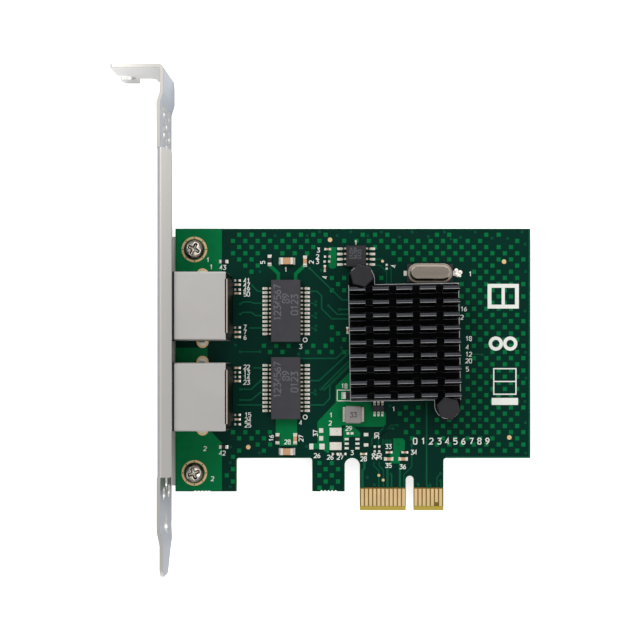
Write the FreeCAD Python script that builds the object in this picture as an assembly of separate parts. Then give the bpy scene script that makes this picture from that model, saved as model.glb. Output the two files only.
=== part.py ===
"""Dual-port network interface card: circuit board, slot bracket, jacks, heat sink and fitted parts.

X runs from the bracket to the free end, Y from the edge contacts to the screw tab, and Z out of
the component side.  The origin lies on the board's lower edge, at the middle of the key notch,
on the component face.  All sizes are in millimetres.
"""
import FreeCAD, Part
import math
import os

from FreeCAD import Vector

# Circuit board
BOARD_THICK = 1.57
BOARD_LEFT = -56.9
BOARD_RIGHT = 29.3
BOARD_TOP = 68.4
BOARD_SHOULDER = 12.7          # lower edge beside the contact tongue
LEG_FOOT = 4.6                 # lower edge of the two legs left of the contacts
LEG_GAP = (-42.1, -23.7)       # open gap between the two legs
RELIEF_SLOT = (-15.8, -12.15)  # round-topped slot between leg and contact tongue
KEY_NOTCH = (-0.95, 0.95)
KEY_NOTCH_TOP = 8.4
TONGUE_RIGHT = 8.2
BEVEL_RISE = 0.9
BEVEL_DEPTH = 0.35
BREAK_MARKS = ((-50.4, 5), (-19.7, 5))  # middle of each row of panel break holes, and their count
BREAK_PITCH = 0.85
BREAK_RADIUS = 0.3

# Edge contacts
CONTACT_PITCH = 1.0
CONTACT_WIDTH = 0.7
CONTACT_THICK = 0.05
CONTACT_SPAN = (1.07, 5.25)
SHORT_CONTACT_START = 2.0
LONG_ROW = (-11.5, 11)         # first contact and count, left of the key
SHORT_ROW = (1.5, 7)           # first contact and count, right of the key
FRONT_SHORT_X = 6.5
BACK_SHORT_X = -11.5

# Slot bracket
SHEET = 0.86
PLATE_OUTER = -59.2
UPPER_STEP = 0.75              # the part above the upper joggle sits nearer to the card
TONGUE_STEP = 0.65
NEAR_EDGE = 14.7
FAR_EDGE = -3.7
TAB_TOP = 105.3
TAB_END = -70.1
TONGUE_TIP = -14.2
TONGUE_TIP_WIDTH = 9.3
UPPER_JOGGLE = (96.4, 98.9)
LOWER_JOGGLE = (-6.7, -3.5)
FLANGE_SPAN = (9.1, 85.9)
FLANGE_EDGE = -55.7
FOOT_SPAN = (5.9, 66.6)
FOOT_EDGE = -55.3
FOOT_EAR_EDGE = -48.4
FOOT_EAR_HALF = 3.9
BEND = 0.3
VENT_RADIUS = 1.65
VENTS = (                      # Y and Z of each vent
    (95.2, 8.9), (95.2, 0.9), (92.8, 5.0), (90.4, 8.9), (90.4, 0.9), (88.0, 5.0),
    (7.2, 5.0), (4.9, 8.9), (4.9, 0.9),
)
TONGUE_HOLE = (-2.4, 5.5, 2.5)  # Y, Z and radius

# Bracket screws
SCREW_PLACES = ((-52.3, 63.35), (-52.3, 9.1))
SCREW_HEAD_RADIUS = 2.45
SCREW_RIM_HEIGHT = 0.6
SCREW_CROWN = (1.3, 1.9)       # radius and height of the crown
SCREW_SHANK_RADIUS = 1.4
SCREW_HOLE_RADIUS = 1.6
SCREW_TIP = -3.5
SCREW_RECESS = (1.5, 0.35)     # half length and half width of each arm
SCREW_RECESS_FLOOR = 0.9

# Modular jacks
JACK_MIDDLES = (49.1, 27.85)
JACK_FRONT = -59.1
JACK_BACK = -43.15
JACK_HALF = 8.0
JACK_TOP = 13.4
SHIELD = 0.25
SHIELD_FRONT = -55.3
SHIELD_FLAP_HALF = 6.3
SHIELD_FLAP_BACK = -42.85
LEG_X = -50.3
LEG_HALF = 0.7
LEG_OFFSET = 8.2
LEG_HOLE_RADIUS = 0.9
PIN_DEPTH = -3.1               # how far pins and legs reach below the component face
PORT_BACK = -47.2
PORT_HALF = 5.9
PORT_FLOOR = 2.4
PORT_ROOF = 9.6
LATCH_HALF = 3.1
LATCH_ROOF = 11.4
WIRE_PITCH = 1.02
WIRE_COUNT = 8
WIRE_WIDTH = 0.45
WIRE_THICK = 0.35
WIRE_ROWS = (-46.6, -44.1)
LAMP_MIDDLE = 5.9
LAMP_HALF = 1.35
PIN_HOLE_RADIUS = 0.45
PEG_X = -53.3
PEG_OFFSET = 5.72
PEG_RADIUS = 1.55
PEG_TIP = -2.9
STAND_OFF = 0.2

# Line transformers
TRANSFORMER_X = -30.0
TRANSFORMER_MIDDLES = (48.35, 29.7)
TRANSFORMER_SIZE = (7.1, 15.0, 2.2)
TRANSFORMER_LEADS = 12

# Memory chip
MEMORY_PLACE = (-13.0, 61.6)
MEMORY_SIZE = (4.8, 5.1, 1.8)

# Heat sink, controller chip and push pins
SINK_MIDDLE = (-1.35, 40.75)
SINK_TURN = 1.0                # degrees, counter-clockwise
SINK_SIZE = (26.3, 28.0)
SINK_BASE = (2.2, 4.2)
SINK_TOP = 10.2
FIN_COUNT = 9
FIN_PITCH = 3.17
FIN_ROOT = 1.9
FIN_TIP = 1.3
FIN_CHAMFER = 0.3
CHANNEL_WIDTH = 1.8
CHANNEL_PITCH = 5.55
SHALLOW_FLOOR = 8.2
DEEP_FLOOR = 4.9
EAR_RADIUS = 3.1
PUSH_PIN_OFFSET = (10.0, 15.8)
PUSH_PIN_HOLE = 1.6
PUSH_PIN_SHAFT = 1.3
PUSH_PIN_HEAD = (7.6, 9.2)
PUSH_PIN_HEAD_RADIUS = 2.9
PUSH_PIN_HEAD_TURN = 46.0
PUSH_PIN_TIP = -3.6
SPRING_RADIUS = 1.95
SPRING_WIRE_RADIUS = 0.22
SPRING_TURNS = 3
SPRING_STEPS = 12              # straight runs in one turn of the spring
CHIP_HALF = 8.5
CHIP_HEIGHT = 1.6

# Crystal
CRYSTAL_PLACE = (4.88, 57.55)
CRYSTAL_LENGTH = 10.7
CRYSTAL_WIDTH = 4.66
CRYSTAL_TOP = 3.9

# Power inductor and switch chip
INDUCTOR_PLACE = (-13.68, 23.3)
SWITCH_PLACE = (-7.6, 24.75)

# Corner radii below this are drawn as three short flats
FLAT_RADIUS = 0.95

# Chip capacitors and resistors: length, width and height of each case
CASES = {
    "1206": (3.0, 1.6, 1.2),
    "0805": (2.0, 0.9, 0.6),
    "0603": (1.6, 0.8, 0.45),
    "0402": (1.0, 0.5, 0.35),
}
FILTER_X = -41.84
FILTER_ROWS = (
    ("resistor", 55.8), ("capacitor", 54.8), ("resistor", 53.6), ("capacitor", 52.7),
    ("resistor", 44.4), ("capacitor", 43.3), ("capacitor", 42.1),
    ("capacitor", 34.6), ("resistor", 33.5), ("resistor", 32.4), ("capacitor", 31.4),
    ("resistor", 23.2), ("capacitor", 22.1), ("resistor", 20.9),
)
PLACED_PARTS = (
    ("isolation", "1206", -29.8, 60.5, "x"),
    ("isolation", "1206", -29.8, 14.3, "x"),
    ("capacitor", "0805", -25.4, 60.5, "y"),
    ("resistor", "0805", -34.0, 60.7, "y"),
    ("capacitor", "0805", -27.8, 17.4, "y"),
    ("resistor", "0805", -32.1, 17.4, "y"),
    ("resistor", "0603", -45.2, 60.4, "x"),
    ("resistor", "0603", -45.2, 15.4, "x"),
    ("capacitor", "0402", -19.9, 63.4, "x"),
    ("resistor", "0402", -20.0, 61.6, "x"),
    ("resistor", "0402", -20.1, 60.4, "x"),
    ("capacitor", "0402", -20.6, 58.7, "y"),
    ("capacitor", "0603", -5.1, 12.5, "x"),
    ("capacitor", "0603", -1.6, 12.5, "x"),
    ("capacitor", "0402", -5.0, 14.1, "x"),
    ("capacitor", "0402", -1.2, 14.1, "x"),
    ("resistor", "0402", -18.1, 13.7, "x"),
    ("resistor", "0402", -16.2, 13.7, "x"),
    ("capacitor", "0402", -11.2, 13.7, "x"),
    ("resistor", "0402", -8.5, 14.9, "y"),
    ("resistor", "0402", -7.4, 14.9, "y"),
    ("shunt", "1206", -14.6, 27.9, "x"),
    ("capacitor", "0402", -15.1, 43.7, "y"),
)

AXES = {
    "xy": lambda u, v, w: Vector(u, v, w),
    "xz": lambda u, v, w: Vector(u, w, v),
    "yz": lambda u, v, w: Vector(w, u, v),
}


def box(x_span, y_span, z_span):
    """Box between the two values of each span."""
    corner = Vector(x_span[0], y_span[0], z_span[0])
    return Part.makeBox(x_span[1] - x_span[0], y_span[1] - y_span[0], z_span[1] - z_span[0], corner)


def around(middle, half):
    """Span of a given half width about a middle value."""
    return (middle - half, middle + half)


def rod(x, y, z_span, radius):
    """Upright cylinder."""
    return Part.makeCylinder(radius, z_span[1] - z_span[0], Vector(x, y, z_span[0]))


def regular(u, v, radius, sides, turn=0.0):
    """Corners of a regular outline; the first lies at the turn in degrees."""
    corners = []
    for index in range(sides):
        angle = math.radians(turn + 360 * index / sides)
        corners.append((u + radius * math.cos(angle), v + radius * math.sin(angle), 0))
    return corners


def merge(solids):
    """One solid from overlapping or touching ones, with no seams left in flat faces."""
    return solids[0].fuse(solids[1:]).removeSplitter()


def round_corner(corner, before, after, radius):
    """Points along a rounded corner: both ends, and between them the arc's middle or two flats' ends."""
    half_angle = before.getAngle(after) / 2
    run = radius / math.tan(half_angle)
    centre = corner + (before + after).normalize() * (radius / math.sin(half_angle))
    start = corner + before * run - centre
    end = corner + after * run - centre
    sweep = math.pi - 2 * half_angle
    steps = 3 if radius < FLAT_RADIUS else 2
    points = []
    for step in range(steps + 1):
        share = step / steps
        blend = start * math.sin((1 - share) * sweep) + end * math.sin(share * sweep)
        points.append(centre + blend * (1 / math.sin(sweep)))
    return points


def outline_edges(corners, place):
    """Edges through (u, v, radius) corners, each corner rounded by its radius."""
    edges = []
    turns = []
    count = len(corners)
    for index, (u, v, radius) in enumerate(corners):
        corner = Vector(u, v, 0)
        before = Vector(*corners[index - 1][:2], 0) - corner
        after = Vector(*corners[(index + 1) % count][:2], 0) - corner
        before.normalize()
        after.normalize()
        turns.append(round_corner(corner, before, after, radius) if radius else [corner])
    for index, points in enumerate(turns):
        last_end = turns[index - 1][-1]
        if last_end.distanceToPoint(points[0]) > 1e-6:
            edges.append(Part.LineSegment(place(last_end), place(points[0])).toShape())
        if len(points) == 3:
            edges.append(Part.Arc(*map(place, points)).toShape())
        elif len(points) > 3:
            for start, end in zip(points, points[1:]):
                edges.append(Part.LineSegment(place(start), place(end)).toShape())
    return edges


def ring(corners, z):
    """Closed level wire through (x, y, radius) corners, their radii left out."""
    points = [Vector(x, y, z) for x, y, _ in corners]
    return Part.makePolygon(points + points[:1])


def slab(plane, corners, span):
    """Plate with a rounded outline in a named plane, as thick as the span across that plane."""
    low, high = span
    to_space = AXES[plane]
    edges = outline_edges(corners, lambda point: to_space(point.x, point.y, low))
    face = Part.Face(Part.Wire(edges))
    return face.extrude(to_space(0, 0, high - low))


def bent_strip(plane, path, thick, bend, span):
    """Sheet of even thickness whose middle line follows a path, with rounded bends."""
    left = []
    right = []
    last = len(path) - 1
    for index, point in enumerate(path):
        here = Vector(point[0], point[1], 0)
        into = here - Vector(*path[max(index - 1, 0)], 0)
        out = Vector(*path[min(index + 1, last)], 0) - here
        if index == 0:
            into = out
        if index == last:
            out = into
        into.normalize()
        out.normalize()
        turn = into.x * out.y - into.y * out.x
        normal = Vector(-into.y - out.y, into.x + out.x, 0).normalize()
        miter = normal * (thick / 2 / (normal.x * -into.y + normal.y * into.x))
        is_end = index in (0, last) or bend == 0
        left_radius = 0 if is_end else (bend if turn > 0 else bend + thick)
        right_radius = 0 if is_end else (bend + thick if turn > 0 else bend)
        left.append((here.x + miter.x, here.y + miter.y, left_radius))
        right.append((here.x - miter.x, here.y - miter.y, right_radius))
    return slab(plane, left + right[::-1], span)


def rectangle(x_span, y_span, radius=0):
    """Corners of a rectangle, all with one radius."""
    return [
        (x_span[0], y_span[0], radius), (x_span[1], y_span[0], radius),
        (x_span[1], y_span[1], radius), (x_span[0], y_span[1], radius),
    ]


def top_edges(solid):
    """Edges that lie wholly in the solid's highest plane."""
    top = solid.BoundBox.ZMax
    return [edge for edge in solid.Edges if edge.BoundBox.ZMin > top - 1e-4]


def moulded_block(x, y, size, floor=0.0, chamfer=0.12):
    """Moulded chip body: a block on the board with its top edges chamfered."""
    length, width, top = size
    block = box(around(x, length / 2), around(y, width / 2), (floor, top))
    return block.makeChamfer(chamfer, top_edges(block))


def gull_lead(body_half, toe, y, height):
    """One gull-wing lead on the +X side of a body centred on X 0."""
    reach = toe - body_half
    path = [
        (body_half, height), (body_half + 0.25 * reach, height),
        (toe - 0.5 * reach, 0.1), (toe, 0.1),
    ]
    return bent_strip("xz", path, 0.2, 0, around(y, 0.22))


def lead_rows(x, y, body_half, toe, count, pitch, height):
    """Two facing rows of gull-wing leads, along Y, on both sides of a body."""
    leads = []
    for index in range(count):
        offset = (index - (count - 1) / 2) * pitch
        lead = gull_lead(body_half, toe, offset, height)
        for turn in (0, 180):
            copy = lead.copy()
            copy.rotate(Vector(0, 0, 0), Vector(0, 0, 1), turn)
            copy.translate(Vector(x, y, 0))
            leads.append(copy)
    return leads


def push_pin_places():
    """X and Y of both push pins, on a diagonal of the turned heat sink."""
    turn = math.radians(SINK_TURN)
    reach_x, reach_y = PUSH_PIN_OFFSET
    places = []
    for sign in (-1, 1):
        along = sign * reach_x
        across = -sign * reach_y
        x = SINK_MIDDLE[0] + along * math.cos(turn) - across * math.sin(turn)
        y = SINK_MIDDLE[1] + along * math.sin(turn) + across * math.cos(turn)
        places.append((x, y))
    return places


def wire_places(middle):
    """X row and Y of each of a jack's eight sprung wires."""
    places = []
    for index in range(WIRE_COUNT):
        y = middle + (index - (WIRE_COUNT - 1) / 2) * WIRE_PITCH
        places.append((WIRE_ROWS[index % 2], y))
    return places


def lamp_pin_places(middle):
    """X and Y of the four pins of a jack's two lamps."""
    return [(x, middle + side * 6.6) for side in (-1, 1) for x in WIRE_ROWS]


def build_board():
    """Circuit board with its legs, slots, key notch, bevelled tongue and drilled holes."""
    corners = [
        (BOARD_LEFT, LEG_FOOT, 0),
        (LEG_GAP[0], LEG_FOOT, 0),
        (LEG_GAP[0], BOARD_SHOULDER, 0.6),
        (LEG_GAP[1], BOARD_SHOULDER, 0.6),
        (LEG_GAP[1], LEG_FOOT, 0),
        (RELIEF_SLOT[0], LEG_FOOT, 0),
        (RELIEF_SLOT[0], BOARD_SHOULDER, 1.82),
        (RELIEF_SLOT[1], BOARD_SHOULDER, 1.82),
        (RELIEF_SLOT[1], 0, 0),
        (KEY_NOTCH[0], 0, 0),
        (KEY_NOTCH[0], KEY_NOTCH_TOP, 0.94),
        (KEY_NOTCH[1], KEY_NOTCH_TOP, 0.94),
        (KEY_NOTCH[1], 0, 0),
        (TONGUE_RIGHT, 0, 0),
        (TONGUE_RIGHT, BOARD_SHOULDER, 0.6),
        (BOARD_RIGHT, BOARD_SHOULDER, 0),
        (BOARD_RIGHT, BOARD_TOP, 0),
        (BOARD_LEFT, BOARD_TOP, 0),
    ]
    board = slab("xy", corners, (-BOARD_THICK, 0))
    through = (-BOARD_THICK - 1, 1)
    cutters = [rod(x, y, through, SCREW_HOLE_RADIUS) for x, y in SCREW_PLACES]
    cutters += [rod(x, y, through, PUSH_PIN_HOLE) for x, y in push_pin_places()]
    for middle in JACK_MIDDLES:
        for side in (-1, 1):
            leg_hole = regular(LEG_X, middle + side * LEG_OFFSET, LEG_HOLE_RADIUS, 12)
            peg_hole = regular(PEG_X, middle + side * PEG_OFFSET, PEG_RADIUS + 0.08, 16)
            cutters += [slab("xy", leg_hole, through), slab("xy", peg_hole, through)]
        for x, y in wire_places(middle) + lamp_pin_places(middle):
            cutters.append(slab("xy", regular(x, y, PIN_HOLE_RADIUS, 6), through))
    for middle, count in BREAK_MARKS:
        for index in range(count):
            x = middle + (index - (count - 1) / 2) * BREAK_PITCH
            cutters.append(slab("xy", regular(x, LEG_FOOT, BREAK_RADIUS, 6), through))
    tongue = (RELIEF_SLOT[1] - 0.5, TONGUE_RIGHT + 0.5)
    front_bevel = [(0, 0, 0), (BEVEL_RISE, 0, 0), (0, -BEVEL_DEPTH, 0)]
    back_bevel = [(y, -BOARD_THICK - z, 0) for y, z, _ in front_bevel]
    for bevel in (front_bevel, back_bevel):
        cutters.append(slab("yz", bevel, tongue))
    return board.cut(cutters)


def build_edge_contacts():
    """Gold contact fingers on both faces of the tongue."""
    fingers = []
    front = (0, CONTACT_THICK)
    back = (-BOARD_THICK - CONTACT_THICK, -BOARD_THICK)
    for layer, short_x in ((front, FRONT_SHORT_X), (back, BACK_SHORT_X)):
        for first, count in (LONG_ROW, SHORT_ROW):
            for index in range(count):
                x = first + index * CONTACT_PITCH
                start = SHORT_CONTACT_START if x == short_x else CONTACT_SPAN[0]
                fingers.append(box(around(x, CONTACT_WIDTH / 2), (start, CONTACT_SPAN[1]), layer))
    return fingers


def tab_corners():
    """Outline of the screw tab: open screw slot, hook beyond it and a recess in the far edge."""
    slot = (0.43, 4.85)
    slot_end = TAB_END + 4.0
    recess = 1.6
    root = PLATE_OUTER - 2.2
    return [
        (TAB_END, NEAR_EDGE, 0.8),
        (PLATE_OUTER + 3, NEAR_EDGE, 0),
        (PLATE_OUTER + 3, FAR_EDGE, 0),
        (PLATE_OUTER, FAR_EDGE + 1.1, 0),
        (root, FAR_EDGE + 1.1, 0.5),
        (root, recess, 1.6),
        (TAB_END + 4.7, recess, 0.7),
        (TAB_END + 4.1, FAR_EDGE, 0.8),
        (TAB_END, FAR_EDGE, 1.5),
        (TAB_END, slot[0], 0.4),
        (slot_end, slot[0], 2.2),
        (slot_end, slot[1], 2.2),
        (TAB_END, slot[1], 0.4),
    ]


def plate_corners():
    """Front outline of the bracket plate, from the slot tongue to the tab bend."""
    chamfer = 1.6
    tip_far = NEAR_EDGE - TONGUE_TIP_WIDTH
    return [
        (TONGUE_TIP, tip_far + chamfer, 0.4),
        (TONGUE_TIP + chamfer, tip_far, 1.0),
        (-9.3, 2.8, 8.0),
        (LOWER_JOGGLE[1] + 0.3, FAR_EDGE, 1.5),
        (TAB_TOP - 2.6, FAR_EDGE, 1.0),
        (TAB_TOP + 0.5, FAR_EDGE + 1.6, 0),
        (TAB_TOP + 0.5, NEAR_EDGE, 0),
        (TONGUE_TIP + chamfer, NEAR_EDGE, 0.6),
        (TONGUE_TIP, NEAR_EDGE - chamfer, 0.4),
    ]


def build_bracket():
    """Slot bracket folded from one sheet: tab, joggled plate, slot tongue, flange and foot."""
    middle = PLATE_OUTER + SHEET / 2
    profile = [
        (middle + TONGUE_STEP, TONGUE_TIP), (middle + TONGUE_STEP, LOWER_JOGGLE[0]),
        (middle, LOWER_JOGGLE[1]), (middle, UPPER_JOGGLE[0]),
        (middle + UPPER_STEP, UPPER_JOGGLE[1]), (middle + UPPER_STEP, TAB_TOP - SHEET / 2),
        (TAB_END, TAB_TOP - SHEET / 2),
    ]
    folded = bent_strip("xy", profile, SHEET, BEND, (FAR_EDGE, NEAR_EDGE))
    keep_plate = slab("yz", plate_corners(), (PLATE_OUTER - 0.05, PLATE_OUTER + 3))
    keep_tab = slab("xz", tab_corners(), (TAB_TOP - 1.5, TAB_TOP + 0.5))
    sheet = folded.common(keep_plate.fuse(keep_tab))

    # The flange and the foot are folded from the plate's two long edges.
    bend_zone = (PLATE_OUTER - 1, PLATE_OUTER + 1.5)
    foot_top = -BOARD_THICK
    sheet = sheet.cut([
        box(bend_zone, FLANGE_SPAN, (NEAR_EDGE - 1.0, NEAR_EDGE + 1)),
        box(bend_zone, FOOT_SPAN, (FAR_EDGE - 1, foot_top + 0.4)),
    ])
    flange_middle = NEAR_EDGE - SHEET / 2
    flange_path = [(middle, NEAR_EDGE - 2.5), (middle, flange_middle), (FLANGE_EDGE, flange_middle)]
    flange = bent_strip("xz", flange_path, SHEET, BEND, FLANGE_SPAN)
    flange_shape = [
        (PLATE_OUTER - 1, FLANGE_SPAN[0], 0), (FLANGE_EDGE, FLANGE_SPAN[0], 0.6),
        (FLANGE_EDGE, FLANGE_SPAN[1], 1.5), (PLATE_OUTER - 1, FLANGE_SPAN[1], 0),
    ]
    flange = flange.common(slab("xy", flange_shape, (0, NEAR_EDGE + 1)))
    foot_middle = foot_top - SHEET / 2
    foot_path = [(middle, foot_top + 1.5), (middle, foot_middle), (FOOT_EAR_EDGE, foot_middle)]
    foot = bent_strip("xz", foot_path, SHEET, BEND, FOOT_SPAN)
    upper_ear = SCREW_PLACES[0][1] - FOOT_EAR_HALF
    lower_ear = SCREW_PLACES[1][1] + FOOT_EAR_HALF
    foot_shape = [
        (PLATE_OUTER - 1, FOOT_SPAN[0], 0), (FOOT_EAR_EDGE, FOOT_SPAN[0], 1.2),
        (FOOT_EAR_EDGE, lower_ear, 1.2), (FOOT_EDGE, lower_ear, 0.8),
        (FOOT_EDGE, upper_ear, 0.8), (FOOT_EAR_EDGE, upper_ear, 1.2),
        (FOOT_EAR_EDGE, FOOT_SPAN[1], 1.2), (PLATE_OUTER - 1, FOOT_SPAN[1], 0),
    ]
    foot = foot.common(slab("xy", foot_shape, (FAR_EDGE - 1, 1)))
    sheet = merge([sheet, flange, foot])

    # Jack windows, vents, tongue hole and screw holes.
    cutters = []
    for port in JACK_MIDDLES:
        window = rectangle(around(port, JACK_HALF + 0.15), (-0.1, JACK_TOP - 0.05))
        cutters.append(slab("yz", window, bend_zone))
    for y, z in VENTS:
        cutters.append(slab("yz", regular(y, z, VENT_RADIUS, 16), bend_zone))
    hole_y, hole_z, hole_radius = TONGUE_HOLE
    start = Vector(PLATE_OUTER - 1, hole_y, hole_z)
    cutters.append(Part.makeCylinder(hole_radius, 3, start, Vector(1, 0, 0)))
    for x, y in SCREW_PLACES:
        cutters.append(slab("xy", regular(x, y, SCREW_SHANK_RADIUS + 0.1, 12), (FAR_EDGE, 0)))
    return sheet.cut(cutters)


def build_bracket_screws():
    """Both pan-head screws with cross recesses, turned by different amounts as they were tightened."""
    crown_radius, crown_height = SCREW_CROWN
    screws = []
    for (x, y), turn in zip(SCREW_PLACES, (20, 65)):
        rim_corners = regular(x, y, SCREW_HEAD_RADIUS, 24)
        rim = slab("xy", rim_corners, (0, SCREW_RIM_HEIGHT))
        crown = Part.makeLoft([
            ring(rim_corners, SCREW_RIM_HEIGHT), ring(regular(x, y, crown_radius, 24), crown_height),
        ], True, True)
        shank = slab("xy", regular(x, y, SCREW_SHANK_RADIUS, 12), (SCREW_TIP, 0.1))
        arm = box(around(x, SCREW_RECESS[0]), around(y, SCREW_RECESS[1]), (SCREW_RECESS_FLOOR, 3))
        arms = [arm, arm.copy()]
        for index, piece in enumerate(arms):
            piece.rotate(Vector(x, y, 0), Vector(0, 0, 1), turn + 90 * index)
        screws.append(merge([rim, crown, shank]).cut(merge(arms)))
    return screws


def build_shield(middle):
    """Formed shield of one jack: five walls, a rear flap behind a slot and two solder legs."""
    near, far = around(middle, JACK_HALF)
    outline = [
        (SHIELD_FRONT, near, 0), (JACK_BACK, near, 0.5), (JACK_BACK, far, 0.5), (SHIELD_FRONT, far, 0),
    ]
    outer = slab("xy", outline, (0.2, JACK_TOP))
    bent = [edge for edge in top_edges(outer) if edge.BoundBox.XMax > SHIELD_FRONT + 1]
    outer = outer.makeChamfer(0.3, bent)
    inner = box(
        (SHIELD_FRONT - 1, JACK_BACK - SHIELD),
        around(middle, JACK_HALF - SHIELD), (-1, JACK_TOP - SHIELD),
    )
    flap = box((JACK_BACK - 0.15, SHIELD_FLAP_BACK), around(middle, SHIELD_FLAP_HALF), (0.2, JACK_TOP - 0.25))
    legs = []
    wall_middle = JACK_HALF - SHIELD / 2
    for side in (-1, 1):
        path = [
            (middle + side * wall_middle, 3.0), (middle + side * wall_middle, 1.4),
            (middle + side * LEG_OFFSET, 0.9), (middle + side * LEG_OFFSET, PIN_DEPTH),
        ]
        legs.append(bent_strip("yz", path, SHIELD, 0, around(LEG_X, LEG_HALF)))
    shield = merge([outer.cut(inner), flap] + legs)
    slot = box(
        (JACK_BACK - 0.35, JACK_BACK - 0.15), around(middle, SHIELD_FLAP_HALF), (JACK_TOP - 1, JACK_TOP + 1)
    )
    window = box((-52.9, -51.4), around(middle, JACK_HALF + 1), (8.0, 10.4))
    return shield.cut([slot, window])


def build_housing(middle):
    """Moulded housing of one jack: plug port with latch way, contact trough, lamp seats and pegs."""
    bezel = box((JACK_FRONT, SHIELD_FRONT), around(middle, JACK_HALF), (0, JACK_TOP - 0.1))
    body = box(
        (SHIELD_FRONT, JACK_BACK - SHIELD - 0.2),
        around(middle, JACK_HALF - SHIELD), (STAND_OFF, JACK_TOP - SHIELD),
    )
    pegs = []
    for side in (-1, 1):
        peg = slab("xy", regular(PEG_X, middle + side * PEG_OFFSET, PEG_RADIUS, 12), (PEG_TIP, 0.5))
        tip = [edge for edge in peg.Edges if edge.BoundBox.ZMax < PEG_TIP + 0.1]
        pegs.append(peg.makeChamfer(0.4, tip))
        pegs.append(box(around(PEG_X, PEG_RADIUS), around(middle + side * PEG_OFFSET, PEG_RADIUS), (0, 0.5)))
    trough = around(middle, 4.2)
    before = JACK_FRONT - 1
    cutters = [
        box((before, PORT_BACK), around(middle, PORT_HALF), (PORT_FLOOR, PORT_ROOF)),
        box((before, PORT_BACK - 2), around(middle, LATCH_HALF), (PORT_ROOF, LATCH_ROOF)),
        box((-57.7, JACK_BACK), trough, (0, 1.3)),
        box((-57.7, -55.4), trough, (1.3, PORT_FLOOR)),
    ]
    for side in (-1, 1):
        cutters.append(box((before, -56.5), around(middle + side * LAMP_MIDDLE, LAMP_HALF), (10.3, 12.5)))
    for x, y in lamp_pin_places(middle):
        cutters.append(box(around(x, 0.3), around(y, 0.3), (0, 1.5)))
    return merge([bezel, body] + pegs).cut(cutters)


def build_wires(middle):
    """Eight sprung contact wires, from the solder pins under the floor and up into the port."""
    wires = []
    for pin_x, y in wire_places(middle):
        path = [
            (pin_x, PIN_DEPTH), (pin_x, 0.7), (-57.1, 0.7), (-57.1, 2.3), (-49.0, 4.7),
        ]
        wires.append(bent_strip("xz", path, WIRE_THICK, 0, around(y, WIRE_WIDTH / 2)))
    return wires


def build_lamps(middle):
    """Two lamp lenses in the jack's front and their four solder pins."""
    lamps = []
    for side in (-1, 1):
        lens = box((JACK_FRONT + 0.05, -56.5), around(middle + side * LAMP_MIDDLE, LAMP_HALF), (10.3, 12.5))
        lamps.append(lens)
    for x, y in lamp_pin_places(middle):
        lamps.append(box(around(x, 0.25), around(y, 0.25), (PIN_DEPTH, 1.5)))
    return lamps


def build_heat_sink():
    """Extruded pin-fin heat sink: combed fins, cross channels and two eared corners on its base."""
    half_x = SINK_SIZE[0] / 2
    half_y = SINK_SIZE[1] / 2
    pin_x, pin_y = PUSH_PIN_OFFSET
    ear_end = pin_y + EAR_RADIUS
    ear_side = pin_x - EAR_RADIUS
    base_corners = [
        (-half_x, -half_y, 0.3), (ear_side, -half_y, 0.6), (ear_side, -ear_end, EAR_RADIUS - 0.01),
        (half_x, -ear_end, EAR_RADIUS - 0.01), (half_x, half_y, 0.3), (-ear_side, half_y, 0.6),
        (-ear_side, ear_end, EAR_RADIUS - 0.01), (-half_x, ear_end, EAR_RADIUS - 0.01),
    ]
    base = slab("xy", base_corners, SINK_BASE)
    comb = [(-half_y + 0.3, SINK_BASE[0] + 0.5, 0)]
    comb.append((half_y - 0.3, SINK_BASE[0] + 0.5, 0))
    comb.append((half_y - 0.3, SINK_BASE[1], 0))
    for index in reversed(range(FIN_COUNT)):
        y = (index - (FIN_COUNT - 1) / 2) * FIN_PITCH
        for side in (1, -1):
            steps = [
                (y + side * FIN_ROOT / 2, SINK_BASE[1], 0),
                (y + side * FIN_TIP / 2, SINK_TOP - FIN_CHAMFER, 0),
                (y + side * (FIN_TIP / 2 - FIN_CHAMFER), SINK_TOP, 0),
            ]
            comb += steps if side > 0 else steps[::-1]
    comb.append((-half_y + 0.3, SINK_BASE[1], 0))
    fins = slab("yz", comb, around(0, half_x - 0.2))
    channels = []
    for index, floor in enumerate((SHALLOW_FLOOR, DEEP_FLOOR, DEEP_FLOOR, DEEP_FLOOR)):
        x = (index - 1.5) * CHANNEL_PITCH
        channels.append(box(around(x, CHANNEL_WIDTH / 2), around(0, half_y + 1), (floor, SINK_TOP + 1)))
    sink = merge([base, fins.cut(channels)])
    for x, y in ((-pin_x, pin_y), (pin_x, -pin_y)):
        hole = slab("xy", regular(x, y, PUSH_PIN_HOLE, 16), (0, SINK_TOP))
        clearance = rod(x, y, (SINK_BASE[1], SINK_TOP + 1), PUSH_PIN_HEAD_RADIUS + 0.1)
        sink = sink.cut([hole, clearance])
    sink.rotate(Vector(0, 0, 0), Vector(0, 0, 1), SINK_TURN)
    sink.translate(Vector(SINK_MIDDLE[0], SINK_MIDDLE[1], 0))
    return sink


def build_push_pins():
    """Two moulded push pins: hexagonal head, shaft and a split barb below the board."""
    pins = []
    for x, y in push_pin_places():
        head = slab("xy", regular(x, y, PUSH_PIN_HEAD_RADIUS, 6, PUSH_PIN_HEAD_TURN), PUSH_PIN_HEAD)
        head = head.makeChamfer(0.25, top_edges(head))
        shaft = slab("xy", regular(x, y, PUSH_PIN_SHAFT, 12), (-BOARD_THICK - 0.1, PUSH_PIN_HEAD[0]))
        barb_top = -BOARD_THICK - 0.05
        barb = Part.makeLoft([
            ring(regular(x, y, 0.8, 12), PUSH_PIN_TIP), ring(regular(x, y, 1.95, 12), barb_top),
        ], True, True)
        split = box(around(x, 0.35), around(y, 4), (PUSH_PIN_TIP - 1, -0.5))
        pins.append(merge([head, shaft, barb]).cut(split))
    return pins


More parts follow.
